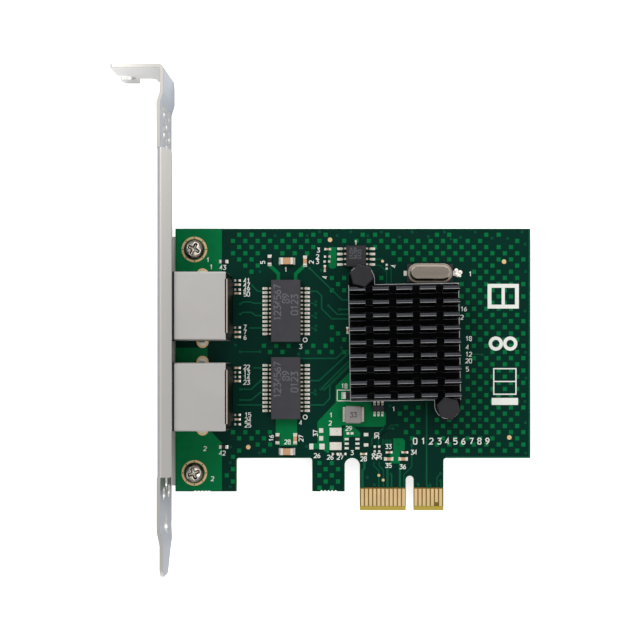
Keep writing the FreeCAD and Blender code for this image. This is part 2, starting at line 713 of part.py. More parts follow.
def build_push_pin_springs():
    """Two coil springs that press the heat sink down, between its ears and the pin heads."""
    foot = SINK_BASE[1] + SPRING_WIRE_RADIUS + 0.02
    rise = PUSH_PIN_HEAD[0] - SINK_BASE[1] - 2 * SPRING_WIRE_RADIUS - 0.04
    count = SPRING_TURNS * SPRING_STEPS
    springs = []
    for x, y in push_pin_places():
        sections = []
        for step in range(count + 1):
            angle = math.tau * step / SPRING_STEPS
            outward = Vector(math.cos(angle), math.sin(angle), 0)
            middle = Vector(x, y, foot + rise * step / count) + outward * SPRING_RADIUS
            across = outward * SPRING_WIRE_RADIUS
            up = Vector(0, 0, SPRING_WIRE_RADIUS)
            corners = [middle + across, middle + up, middle - across, middle - up, middle + across]
            sections.append(Part.makePolygon(corners))
        springs.append(Part.makeLoft(sections, True, True))
    return springs


def build_crystal():
    """Crystal can with its skirt, the insulating base below it and its two flat leads."""
    x, y = CRYSTAL_PLACE

    def stadium(length, width, span):
        corners = rectangle(around(x, length / 2), around(y, width / 2), width / 2 - 0.01)
        return slab("xy", corners, span)

    skirt = stadium(CRYSTAL_LENGTH, CRYSTAL_WIDTH, (0.9, 1.3))
    can = stadium(CRYSTAL_LENGTH - 0.8, CRYSTAL_WIDTH - 0.8, (1.3, CRYSTAL_TOP))
    can = can.makeChamfer(0.45, top_edges(can))
    base = box(around(x, 5.55), around(y, 2.2), (0.15, 0.9))
    leads = [
        box((x + 2.0, x + 6.3), around(y, 0.35), (0, 0.15)),
        box((x - 6.3, x - 2.0), around(y, 0.35), (0, 0.15)),
    ]
    return merge([skirt, can]), base, leads


def build_inductor():
    """Moulded power inductor and its two side terminals."""
    x, y = INDUCTOR_PLACE
    core = slab("xy", rectangle(around(x, 2.02), around(y, 2.08), 0.5), (0.05, 2.0))
    core = core.makeChamfer(0.2, top_edges(core))
    terminals = []
    for side in (-1, 1):
        inner = x + side * 2.02
        outer = x + side * 2.45
        terminals.append(box((min(inner, outer), max(inner, outer)), around(y, 1.5), (0, 0.8)))
    return core, terminals


def build_switch_chip():
    """Six-lead switch chip, its leads along the lower and upper sides."""
    x, y = SWITCH_PLACE
    body = moulded_block(x, y, (2.7, 1.5, 1.1), 0.05, 0.1)
    leads = []
    for turn in (90, 270):
        for step in (-1, 0, 1):
            lead = gull_lead(0.75, 1.6, step * 0.95, 0.5)
            lead.rotate(Vector(0, 0, 0), Vector(0, 0, 1), turn)
            lead.translate(Vector(x, y, 0))
            leads.append(lead)
    return body, leads


def chip_part(case, x, y, along):
    """Body and the two end caps of one chip capacitor or resistor."""
    length, width, height = CASES[case]
    cap = length * 0.2
    body = box(around(0, length / 2 - cap), around(0, width / 2 - 0.02), (0.02, height - 0.03))
    ends = [
        box((-length / 2, cap - length / 2), around(0, width / 2), (0, height)),
        box((length / 2 - cap, length / 2), around(0, width / 2), (0, height)),
    ]
    for solid in [body] + ends:
        if along == "y":
            solid.rotate(Vector(0, 0, 0), Vector(0, 0, 1), 90)
        solid.translate(Vector(x, y, 0))
    return body, ends


def build_chip_parts():
    """Bodies and end caps of all chip parts, sorted by kind."""
    rows = [(kind, "0402", FILTER_X, y, "x") for kind, y in FILTER_ROWS]
    nodes = {}
    for kind, case, x, y, along in rows + list(PLACED_PARTS):
        body, ends = chip_part(case, x, y, along)
        nodes.setdefault(kind + "_bodies", []).append(body)
        nodes.setdefault(kind + "_ends", []).extend(ends)
    return nodes


def build_card():
    """All nodes of the card: each name with its list of solids."""
    nodes = {
        "circuit_board": [build_board()],
        "edge_contacts": build_edge_contacts(),
        "bracket": [build_bracket()],
        "bracket_screws": build_bracket_screws(),
    }
    for number, middle in enumerate(JACK_MIDDLES, start=1):
        nodes[f"jack_{number}_shield"] = [build_shield(middle)]
        nodes[f"jack_{number}_housing"] = [build_housing(middle)]
        nodes[f"jack_{number}_wires"] = build_wires(middle)
        nodes[f"jack_{number}_lamps"] = build_lamps(middle)
    for number, middle in enumerate(TRANSFORMER_MIDDLES, start=1):
        nodes[f"transformer_{number}_body"] = [
            moulded_block(TRANSFORMER_X, middle, TRANSFORMER_SIZE, 0.15)
        ]
        nodes[f"transformer_{number}_leads"] = lead_rows(
            TRANSFORMER_X, middle, TRANSFORMER_SIZE[0] / 2, 5.3, TRANSFORMER_LEADS, 1.0, 1.05
        )
    nodes["memory_chip_body"] = [moulded_block(*MEMORY_PLACE, MEMORY_SIZE, 0.1)]
    nodes["memory_chip_leads"] = lead_rows(*MEMORY_PLACE, MEMORY_SIZE[0] / 2, 3.95, 4, 1.27, 0.9)

    chip_x = around(SINK_MIDDLE[0], CHIP_HALF)
    chip_y = around(SINK_MIDDLE[1], CHIP_HALF)
    nodes["controller_chip"] = [box(chip_x, chip_y, (0, CHIP_HEIGHT))]
    nodes["thermal_pad"] = [box(chip_x, chip_y, (CHIP_HEIGHT, SINK_BASE[0]))]
    nodes["heat_sink"] = [build_heat_sink()]
    nodes["push_pins"] = build_push_pins()
    nodes["push_pin_springs"] = build_push_pin_springs()

    can, base, leads = build_crystal()
    nodes["crystal_can"] = [can]
    nodes["crystal_base"] = [base]
    nodes["crystal_leads"] = leads
    core, terminals = build_inductor()
    nodes["inductor_core"] = [core]
    nodes["inductor_terminals"] = terminals
    body, leads = build_switch_chip()
    nodes["switch_chip_body"] = [body]
    nodes["switch_chip_leads"] = leads
    nodes.update(build_chip_parts())
    return nodes


def main():
    """Write one STEP file for each node."""
    os.makedirs("parts", exist_ok=True)
    for name, solids in build_card().items():
        shape = solids[0] if len(solids) == 1 else Part.makeCompound(solids)
        shape.exportStep(f"parts/{name}.step")


main()
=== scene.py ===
"""Looks of the network interface card: finishes, board artwork, solder and studio."""
import logging
import math
from collections.abc import Iterable, Sequence
from dataclasses import dataclass, field
from enum import Enum
from typing import Any

import bmesh
import bpy
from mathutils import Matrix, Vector


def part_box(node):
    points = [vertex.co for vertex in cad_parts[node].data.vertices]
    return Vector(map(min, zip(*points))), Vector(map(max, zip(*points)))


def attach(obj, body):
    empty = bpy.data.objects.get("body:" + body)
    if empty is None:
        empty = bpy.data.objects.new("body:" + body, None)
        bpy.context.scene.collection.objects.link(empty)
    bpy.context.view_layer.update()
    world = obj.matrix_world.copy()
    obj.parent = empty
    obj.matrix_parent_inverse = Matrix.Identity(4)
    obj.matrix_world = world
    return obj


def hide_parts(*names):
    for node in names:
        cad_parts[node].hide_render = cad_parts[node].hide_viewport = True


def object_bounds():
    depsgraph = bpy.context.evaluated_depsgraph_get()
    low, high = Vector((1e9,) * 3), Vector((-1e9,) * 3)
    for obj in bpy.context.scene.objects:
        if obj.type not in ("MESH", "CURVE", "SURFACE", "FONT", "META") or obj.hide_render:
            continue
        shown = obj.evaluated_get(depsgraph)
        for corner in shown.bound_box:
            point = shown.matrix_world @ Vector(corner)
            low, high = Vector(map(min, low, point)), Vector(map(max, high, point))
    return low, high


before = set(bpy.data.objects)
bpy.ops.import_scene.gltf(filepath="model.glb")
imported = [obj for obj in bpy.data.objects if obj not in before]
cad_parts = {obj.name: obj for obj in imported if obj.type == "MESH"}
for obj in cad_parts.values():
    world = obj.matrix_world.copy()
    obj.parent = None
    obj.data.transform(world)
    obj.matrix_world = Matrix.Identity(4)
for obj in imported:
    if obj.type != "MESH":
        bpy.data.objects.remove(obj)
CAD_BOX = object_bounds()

MM = 0.001  # scene units are metres; sizes below are in millimetres
LOG = logging.getLogger("card")
NOISE_MIDDLE = (0.3, 0.7)  # range that holds most of a noise value
GLOSS_PATCH = 0.6  # patches of gloss against patches of colour
GRAIN_DEPTH = 0.3  # relief of the grain against its size
FACING = 0.5  # share of a normal along an axis from which a face counts as facing that way
WELD = 0.0005  # corners nearer than this belong together
SHARPEST_MITRE = 0.35  # keeps the corners of narrow bends from running out
Point = tuple[float, float]
Span = tuple[float, float]
Place = tuple[float, float, float]
Colour = tuple[float, float, float, float]
Tree = bpy.types.NodeTree
Socket = bpy.types.NodeSocket
Corners = list[bmesh.types.BMVert]


def linear(hex_colour: str) -> Colour:
    """Turns an sRGB hex value into a linear colour.

    Args:
        hex_colour: a value such as "#1A2B3C".

    Returns:
        Linear red, green, blue and an alpha of 1.
    """
    channels = [int(hex_colour[i : i + 2], 16) / 255 for i in (1, 3, 5)]
    values = [c / 12.92 if c <= 0.04045 else ((c + 0.055) / 1.055) ** 2.4 for c in channels]
    return values[0], values[1], values[2], 1.0


def add_node(
    tree: Tree, kind: str, settings: dict[str, Any] | None = None, inputs: dict[str | int, Any] | None = None
) -> bpy.types.Node:
    """Adds a node with its settings, and fills or links its sockets.

    Args:
        tree: the node tree that gets the node.
        kind: the node's type name.
        settings: properties of the node.
        inputs: socket name or number to a value, or to the socket to link from.

    Returns:
        The new node.
    """
    node = tree.nodes.new(kind)
    for key, value in (settings or {}).items():
        setattr(node, key, value)
    for key, value in (inputs or {}).items():
        if isinstance(value, bpy.types.NodeSocket):
            tree.links.new(value, node.inputs[key])
        else:
            node.inputs[key].default_value = value
    return node


def calculate(tree: Tree, operation: str, *values: Any) -> Socket:
    """Result of one step of arithmetic on numbers or sockets."""
    return add_node(tree, "ShaderNodeMath", {"operation": operation}, dict(enumerate(values))).outputs[0]


def spread(tree: Tree, value: Socket, source: Span, target: Span) -> Socket:
    """Maps a value from one range onto another, held at its ends.

    Args:
        tree: the node tree that gets the step.
        value: the value to map.
        source: values that give the two ends.
        target: the two ends.

    Returns:
        The mapped value.
    """
    ends = {"From Min": source[0], "From Max": source[1], "To Min": target[0], "To Max": target[1]}
    return add_node(tree, "ShaderNodeMapRange", None, {"Value": value, **ends}).outputs["Result"]


def parts_of(tree: Tree, vector: Socket) -> bpy.types.NodeOutputs:
    """The X, Y and Z parts of a vector."""
    return add_node(tree, "ShaderNodeSeparateXYZ", None, {0: vector}).outputs


def normal_parts(tree: Tree, kind: str = "True Normal") -> bpy.types.NodeOutputs:
    """The X, Y and Z parts of the surface's normal."""
    return parts_of(tree, add_node(tree, "ShaderNodeNewGeometry").outputs[kind])


class Axis(Enum):
    """Direction in which a metal sheet was rolled or brushed."""

    X = (0.08, 1.0, 1.0)
    Y = (1.0, 0.08, 1.0)
    NONE = (1.0, 1.0, 1.0)


@dataclass(frozen=True)
class Finish:
    """A solid-coloured finish with fine grain and a slight mottle.

    The grain is the relief that moulding, plating or firing leaves; edge_mm is the radius that real
    edges have, which catches a thin line of light.
    """

    name: str
    colour: str
    roughness: float
    metallic: float = 0.0
    ior: float = 1.5
    specular: float = 0.5
    grain_mm: float = 0.12
    grain_strength: float = 0.15
    mottle: float = 0.06
    mottle_mm: float = 2.5
    gloss_spread: float = 0.13
    edge_mm: float = 0.05
    rolled: Axis = Axis.NONE

    def material(self) -> bpy.types.Material:
        """Builds the material.

        Returns:
            The node material, named for the finish.
        """
        found = bpy.data.materials.get(self.name)
        if found:
            return found
        material = bpy.data.materials.new(self.name)
        material.use_nodes = True
        tree = material.node_tree
        shader = tree.nodes["Principled BSDF"]
        shader.inputs["Roughness"].default_value = self.roughness
        shader.inputs["Metallic"].default_value = self.metallic
        if self.metallic < 1:
            shader.inputs["IOR"].default_value = self.ior
            shader.inputs["Specular IOR Level"].default_value = self.specular
        place = add_node(tree, "ShaderNodeTexCoord").outputs["Object"]
        tree.links.new(self.colour_socket(tree, place), shader.inputs["Base Color"])
        tree.links.new(self.roughness_socket(tree, place), shader.inputs["Roughness"])
        tree.links.new(self.normal_socket(tree, place), shader.inputs["Normal"])
        material.diffuse_color = linear(self.colour)
        return material

    def noise(self, tree: Tree, place: Socket, size_mm: float, detail: float = 2.0) -> Socket:
        """Noise whose blobs are about one size across.

        Args:
            tree: the material's node tree.
            place: the coordinate to read.
            size_mm: real size of one blob.
            detail: octaves of finer noise.

        Returns:
            The noise value, 0 to 1.
        """
        stretch = add_node(
            tree, "ShaderNodeVectorMath", {"operation": "MULTIPLY"}, {0: place, 1: self.rolled.value}
        )
        inputs = {"Vector": stretch.outputs[0], "Scale": 0.5 / (size_mm * MM), "Detail": detail}
        return add_node(tree, "ShaderNodeTexNoise", None, inputs).outputs["Fac"]

    def blend(self, tree: Tree, share: Socket, low: Any, high: Any) -> Socket:
        """Mixes two colours.

        Args:
            tree: the material's node tree.
            share: 0 for the first colour, 1 for the second.
            low: first colour, as a value or a socket.
            high: second colour, as a value or a socket.

        Returns:
            The mixed colour.
        """
        return add_node(tree, "ShaderNodeMix", {"data_type": "RGBA"}, {0: share, 6: low, 7: high}).outputs[2]

    def near_edge(self, tree: Tree, radius_mm: float, facing: Span, most: float) -> Socket:
        """Finds the places beside a sharp edge.

        Args:
            tree: the material's node tree.
            radius_mm: how far from the edge the places lie.
            facing: agreement of the rounded and the true normal away from the edge, and on it.
            most: the result on the edge.

        Returns:
            0 away from edges, and up to the most on them.
        """
        rounded = add_node(tree, "ShaderNodeBevel", {"samples": 6}, {"Radius": radius_mm * MM})
        true_normal = add_node(tree, "ShaderNodeNewGeometry").outputs["True Normal"]
        both = {0: rounded.outputs["Normal"], 1: true_normal}
        agreement = add_node(tree, "ShaderNodeVectorMath", {"operation": "DOT_PRODUCT"}, both)
        return spread(tree, agreement.outputs["Value"], facing, (0.0, most))

    def relief(self, tree: Tree, height: Socket, depth_mm: float, strength: float, base: Socket) -> Socket:
        """Normal of a surface that a height map raises from its base."""
        inputs = {"Strength": strength, "Distance": depth_mm * MM, "Height": height, "Normal": base}
        return add_node(tree, "ShaderNodeBump", None, inputs).outputs["Normal"]

    def colour_socket(self, tree: Tree, place: Socket) -> Socket:
        """The finish's colour with its mottle."""
        dark, light = (
            (*(channel * (1 + change) for channel in linear(self.colour)[:3]), 1.0)
            for change in (-self.mottle, self.mottle)
        )
        share = spread(tree, self.noise(tree, place, self.mottle_mm, 4.0), NOISE_MIDDLE, (0.0, 1.0))
        return self.blend(tree, share, dark, light)

    def roughness_socket(self, tree: Tree, place: Socket) -> Socket:
        """Roughness that varies a little over the surface."""
        noise = self.noise(tree, place, self.mottle_mm * GLOSS_PATCH, 3.0)
        low, high = self.roughness * (1 - self.gloss_spread), self.roughness * (1 + self.gloss_spread)
        return spread(tree, noise, NOISE_MIDDLE, (low, min(1.0, high)))

    def normal_socket(self, tree: Tree, place: Socket) -> Socket:
        """Fine grain over slightly rounded edges."""
        edge = add_node(tree, "ShaderNodeBevel", {"samples": 4}, {"Radius": self.edge_mm * MM})
        grain = self.noise(tree, place, self.grain_mm)
        depth = self.grain_mm * GRAIN_DEPTH
        return self.relief(tree, grain, depth, self.grain_strength, edge.outputs["Normal"])


@dataclass(frozen=True)
class SolderMask(Finish):
    """Green solder mask over a woven glass laminate, bare and yellow round the edge contacts."""

    bare: str = "#7C5E1E"
    # paler laminate band along the bottom edge, partly its own colour and partly a painted highlight on the
    # rounded edge
    band: str = "#BFA548"
    band_mm: float = 1.0
    core: str = "#4E5A2E"
    rim: str = "#2E9A48"
    rim_mm: float = 0.22
    rim_facing: Span = (0.995, 0.9)
    rim_share: float = 0.9
    bare_top_mm: float = 5.55
    bare_left_mm: float = -12.4
    weave_mm: float = 0.55  # pitch of the glass cloth's yarns
    weave_depth_mm: float = 0.02
    weave_strength: float = 0.06

    def colour_socket(self, tree: Tree, place: Socket) -> Socket:
        """Mask colour, bare laminate on the tongue, a light rim where the board is cut, raw core below."""
        mask = Finish.colour_socket(self, tree, place)
        parts = parts_of(tree, place)
        below = calculate(tree, "LESS_THAN", parts["Y"], self.bare_top_mm * MM)
        right_of = calculate(tree, "GREATER_THAN", parts["X"], self.bare_left_mm * MM)
        low_band = calculate(tree, "LESS_THAN", parts["Y"], self.band_mm * MM)
        laminate = self.blend(tree, low_band, linear(self.bare), linear(self.band))
        coloured = self.blend(tree, calculate(tree, "MULTIPLY", below, right_of), mask, laminate)
        edge = self.near_edge(tree, self.rim_mm, self.rim_facing, self.rim_share)
        rimmed = self.blend(tree, edge, coloured, linear(self.rim))
        upright = calculate(tree, "ABSOLUTE", normal_parts(tree)["Z"])
        return self.blend(tree, calculate(tree, "LESS_THAN", upright, FACING), rimmed, linear(self.core))

    def normal_socket(self, tree: Tree, place: Socket) -> Socket:
        """Faint relief of the glass cloth under the mask."""
        base = Finish.normal_socket(self, tree, place)
        parts = parts_of(tree, place)
        turns = math.pi / (self.weave_mm * MM)
        yarns = [calculate(tree, "SINE", calculate(tree, "MULTIPLY", parts[axis], turns)) for axis in "XY"]
        cloth = calculate(tree, "MULTIPLY", *yarns)
        return self.relief(tree, cloth, self.weave_depth_mm, self.weave_strength, base)


@dataclass(frozen=True)
class WornCoat(Finish):
    """A dark coat with painted light: paler top faces where light falls, and painted highlights on the
    sharpest edges, broken into patches.
    """

    # painted highlight on the sharpest edges
    bright: str = "#9A9CA2"
    # painted light: the top faces paler, where light falls on them
    top: str = "#3F4045"
    top_mm: float = 10.17
    worn_mm: float = 0.06
    worn_facing: Span = (0.97, 0.86)
    worn_share: float = 0.7
    patch_mm: float = 1.5
    least_worn: float = 0.35

    def colour_socket(self, tree: Tree, place: Socket) -> Socket:
        """Coat colour, with painted light on the tops and painted highlights on sharp edges."""
        coat = Finish.colour_socket(self, tree, place)
        high = calculate(tree, "GREATER_THAN", parts_of(tree, place)["Z"], self.top_mm * MM)
        lit_tops = self.blend(tree, high, coat, linear(self.top))
        edge_light = self.near_edge(tree, self.worn_mm, self.worn_facing, self.worn_share)
        patches = spread(tree, self.noise(tree, place, self.patch_mm), NOISE_MIDDLE, (self.least_worn, 1.0))
        return self.blend(tree, calculate(tree, "MULTIPLY", edge_light, patches), lit_tops, linear(self.bright))


@dataclass(frozen=True)
class FormedMetal(Finish):
    """Bright metal with painted shade wherever it slopes away from the top, as in a bend or a recess."""

    # painted shade on the sloping faces
    slope: str = "#4A4338"
    flat_from: float = 0.93
    slope_to: float = 0.6

    def colour_socket(self, tree: Tree, place: Socket) -> Socket:
        """Metal colour, with painted shade on slopes."""
        flat = Finish.colour_socket(self, tree, place)
        upright = normal_parts(tree, "Normal")["Z"]
        share = spread(tree, upright, (self.flat_from, self.slope_to), (0.0, 1.0))
        return self.blend(tree, share, flat, linear(self.slope))


@dataclass(frozen=True)
class PlatedSheet(Finish):
    """Plated sheet steel whose broad faces carry a painted reflection, cooler and greyer, whose tab is
    painted paler where light falls, and whose sharp edges carry a dull line.
    """

    # painted reflection: the broad faces cooler and greyer, as where they mirror the dim surroundings
    broad: str = "#B4B9C2"
    # painted light: the tab paler, as where the lamps fall on it
    tab: str = "#F4F3F0"
    # a dull brownish line along the sharp edges
    sheared: str = "#8C7E78"
    sheared_mm: float = 0.12
    sheared_facing: Span = (0.97, 0.8)
    sheared_share: float = 0.8
    turned: Span = (0.35, 0.8)  # where a face turned across the strip starts to change, and has changed

    def colour_socket(self, tree: Tree, place: Socket) -> Socket:
        """Strip colour with a painted reflection, cooler across the sheet, painted light, paler on the tab,
        and a dull line on sharp edges.
        """
        colour = Finish.colour_socket(self, tree, place)
        normal = normal_parts(tree)
        for axis, face in (("X", self.broad), ("Y", self.tab)):
            across = calculate(tree, "ABSOLUTE", normal[axis])
            share = spread(tree, across, self.turned, (0.0, 1.0))
            colour = self.blend(tree, share, colour, linear(face))
        edge = self.near_edge(tree, self.sheared_mm, self.sheared_facing, self.sheared_share)
        return self.blend(tree, edge, colour, linear(self.sheared))


@dataclass(frozen=True)
class ShieldSheet(Finish):
    """Plated sheet whose cut edge behind the jack is bare brass, and whose rear wall carries painted shade,
    dark as where it reflects the board.
    """

    brass: str = "#C9A26B"
    # painted shade: the rear wall dark, as where it reflects the dark board
    stain: str = "#23231F"
    flap_mm: Point = (-43.05, 12.9)
    wall_mm: float = -43.3

    def colour_socket(self, tree: Tree, place: Socket) -> Socket:
        """Sheet colour, with painted shade on the rear wall and the brass edge along its top."""
        sheet = Finish.colour_socket(self, tree, place)
        parts = parts_of(tree, place)
        behind, facing, at_flap, at_top = (
            calculate(tree, "GREATER_THAN", value, limit)
            for value, limit in (
                (parts["X"], self.wall_mm * MM), (normal_parts(tree)["X"], FACING),
                (parts["X"], self.flap_mm[0] * MM), (parts["Z"], self.flap_mm[1] * MM),
            )
        )
        shaded_wall = self.blend(tree, calculate(tree, "MULTIPLY", behind, facing), sheet, linear(self.stain))
        return self.blend(tree, calculate(tree, "MULTIPLY", at_flap, at_top), shaded_wall, linear(self.brass))


# Epoxy-glass laminate under liquid solder mask: satin and deep green.
MASK = SolderMask(
    "solder_mask_laminate", "#002D23", 0.34, ior=1.52, specular=0.08, mottle=0.08, mottle_mm=6.0
)
# The same mask where copper lies under it: lighter and more yellow, because the copper shines through.
MASK_ON_COPPER = Finish(
    "solder_mask_on_copper", "#006E3B", 0.34, ior=1.52, specular=0.08, mottle=0.07, mottle_mm=1.2
)
# Copper track under mask: seen as a thin paler line.
MASK_ON_TRACK = Finish(
    "solder_mask_on_track", "#08563A", 0.34, ior=1.52, specular=0.1, mottle=0.05, mottle_mm=1.0
)
# Immersion gold on copper: warm and satin.
GOLD = Finish("gold_plate", "#FFDBA4", 0.34, metallic=0.6, grain_mm=0.08, mottle=0.05, edge_mm=0.02)
# Reflowed tin solder: bright, with a soft wavy skin.
SOLDER = Finish(
    "reflowed_solder", "#FBF7EC", 0.3, metallic=0.5, grain_mm=0.3, grain_strength=0.25, mottle=0.08,
    mottle_mm=0.8,
)
# Matt tin on stamped copper leads, with painted shade on the sloping bends.
TINNED_LEAD = FormedMetal(
    "tinned_lead", "#F4EBDA", 0.3, metallic=0.9, grain_mm=0.15, grain_strength=0.2, mottle=0.08,
    mottle_mm=0.7,
)
# Cold-rolled steel under bright nickel: pale, satin, faint lines along the strip; painted reflection on the
# broad faces and painted light on the tab.
BRACKET_STEEL = PlatedSheet(
    "nickel_plated_steel", "#DFDCD7", 0.38, metallic=1.0, grain_mm=0.12, grain_strength=0.12, mottle=0.035,
    mottle_mm=5.0, gloss_spread=0.04, edge_mm=0.12, rolled=Axis.Y,
)
# Nickel-plated pan-head screws: brighter than the bracket, with painted shade where the cross and the dome
# slope.
SCREW_STEEL = FormedMetal(
    "nickel_plated_screw", "#F1E8D8", 0.22, slope="#2E2920", slope_to=0.62, metallic=1.0, grain_mm=0.25,
    grain_strength=0.3, mottle=0.12, mottle_mm=0.9, edge_mm=0.08,
)
# Thin nickel-plated brass sheet: satin, slightly warm, with painted shade on the rear wall behind the jack.
SHIELD_METAL = ShieldSheet(
    "nickel_plated_brass", "#D9D6D3", 0.42, metallic=1.0, grain_mm=0.1, grain_strength=0.15, mottle=0.02,
    mottle_mm=4.0, gloss_spread=0.02, edge_mm=0.1,
)
# Glass-filled black plastic, moulded with fine texture.
BLACK_PLASTIC = Finish("moulded_black_plastic", "#1B1B1D", 0.55, grain_mm=0.2, grain_strength=0.25)
# Clear-milky polycarbonate light pipe, unlit.
LENS_PLASTIC = Finish("milky_lens_plastic", "#B9BDB0", 0.25, ior=1.58, mottle=0.03)
# Epoxy moulding compound: charcoal, fine eroded texture.
EPOXY = Finish(
    "epoxy_moulding_compound", "#3A3A3F", 0.62, specular=0.3, grain_strength=0.35, mottle_mm=1.5,
)
# The same compound on the small memory chip, a shade darker.
DARK_EPOXY = Finish(
    "dark_epoxy_compound", "#2A2A2E", 0.6, specular=0.3, grain_strength=0.35, mottle_mm=1.5,
)
# Soft silicone heat pad.
HEAT_PAD = Finish("silicone_heat_pad", "#A9B0B8", 0.7, grain_mm=0.3)
# Black anodised extruded aluminium: satin, streaked along the fins, with painted highlights on sharp edges
# and painted light on the fin tops.
ANODISED = WornCoat(
    "black_anodised_aluminium", "#010102", 0.4, specular=0.07, grain_mm=0.12, grain_strength=0.1,
    mottle=0.1, mottle_mm=2.0, edge_mm=0.04, rolled=Axis.X,
)
# A thin mid-grey line at each fin's root on the anodised aluminium.
FIN_ROOT_GREY = Finish("fin_root_grey", "#8C8D92", 0.4, metallic=0.8, mottle=0.2, mottle_mm=1.5)
# Bare aluminium where the coat has gone from the base plate's edges; the same pale grey stands as a painted
# highlight along each fin's crest.
BARE_EDGE_AND_CREST_HIGHLIGHT = Finish("bare_edge_and_crest_highlight", "#D9DADA", 0.35, metallic=0.8, mottle=0.15, mottle_mm=1.5)
# Nylon push pins, moulded, charcoal with a faint violet cast.
NYLON = Finish(
    "charcoal_nylon", "#212125", 0.5, specular=0.35, grain_mm=0.25, grain_strength=0.2, edge_mm=0.12
)
# Hard-drawn spring wire.
SPRING_WIRE = Finish("spring_wire", "#B4B4B6", 0.3, metallic=1.0, mottle=0.1)
# Drawn nickel-silver can: bright, softly brushed along its length, with a painted highlight round its rim.
CAN_METAL = WornCoat(
    "drawn_nickel_can", "#C0B4A6", 0.28, metallic=1.0, grain_mm=0.12, grain_strength=0.2, mottle=0.06,
    mottle_mm=1.2, edge_mm=0.15, rolled=Axis.X, bright="#F6F0E4", top="#C0B4A6", worn_mm=0.22,
)
# Pressed metal powder of a moulded inductor.
POWDER_CORE = Finish(
    "pressed_metal_powder", "#8F8B88", 0.55, grain_mm=0.12, grain_strength=0.5, mottle=0.08, mottle_mm=0.4,
    edge_mm=0.12,
)
# Fired barium titanate ceramic.
CERAMIC = Finish("fired_tan_ceramic", "#C4966F", 0.5, specular=0.3, grain_mm=0.08, mottle=0.06, mottle_mm=0.6)
# Glass overglaze on a thick-film resistor.
OVERGLAZE = Finish("black_overglaze", "#1C1C1F", 0.3, mottle=0.08, mottle_mm=0.5)
# Screen-printed white epoxy ink.
INK = Finish("white_legend_ink", "#E9EAE4", 0.6, grain_mm=0.1, mottle=0.03, mottle_mm=0.5)
# Ink stamped on the inductor.
STAMPED_MARK = Finish("dark_stamped_mark", "#4A4746", 0.6, grain_mm=0.08, mottle=0.1, mottle_mm=0.3)
# Laser marking on moulded epoxy: a slightly paler burn.
LASER_MARK = Finish(
    "laser_marked_epoxy", "#626268", 0.75, specular=0.2, grain_mm=0.08, mottle=0.12,
    mottle_mm=0.3,
)
# Mouths of plated vias in the screw lands: dark dots of painted shade for the shaded holes.
VIA_MOUTH = Finish("via_mouth_painted_shade", "#3A2B16", 0.5, metallic=0.5, mottle=0.1, mottle_mm=0.2)

NODE_FINISHES: dict[str, Finish] = {
    "circuit_board": MASK,
    "edge_contacts": GOLD,
    "bracket": BRACKET_STEEL,
    "bracket_screws": SCREW_STEEL,
    "transformer_1_body": EPOXY,
    "transformer_2_body": EPOXY,
    "transformer_1_leads": TINNED_LEAD,
    "transformer_2_leads": TINNED_LEAD,
    "memory_chip_body": DARK_EPOXY,
    "memory_chip_leads": TINNED_LEAD,
    "controller_chip": DARK_EPOXY,
    "thermal_pad": HEAT_PAD,
    "heat_sink": ANODISED,
    "push_pins": NYLON,
    "push_pin_springs": SPRING_WIRE,
    "crystal_can": CAN_METAL,
    "crystal_base": BLACK_PLASTIC,
    "crystal_leads": TINNED_LEAD,
    "inductor_core": POWDER_CORE,
    "inductor_terminals": TINNED_LEAD,
    "switch_chip_body": DARK_EPOXY,
    "switch_chip_leads": TINNED_LEAD,
    "isolation_bodies": CERAMIC,
    "capacitor_bodies": CERAMIC,
    "resistor_bodies": OVERGLAZE,
    "shunt_bodies": OVERGLAZE,
    "isolation_ends": SOLDER,
    "capacitor_ends": SOLDER,
    "resistor_ends": SOLDER,
    "shunt_ends": SOLDER,
}
JACK_FINISHES: dict[str, Finish] = {
    "shield": SHIELD_METAL,
    "housing": BLACK_PLASTIC,
    "wires": GOLD,
    "lamps": LENS_PLASTIC,
}


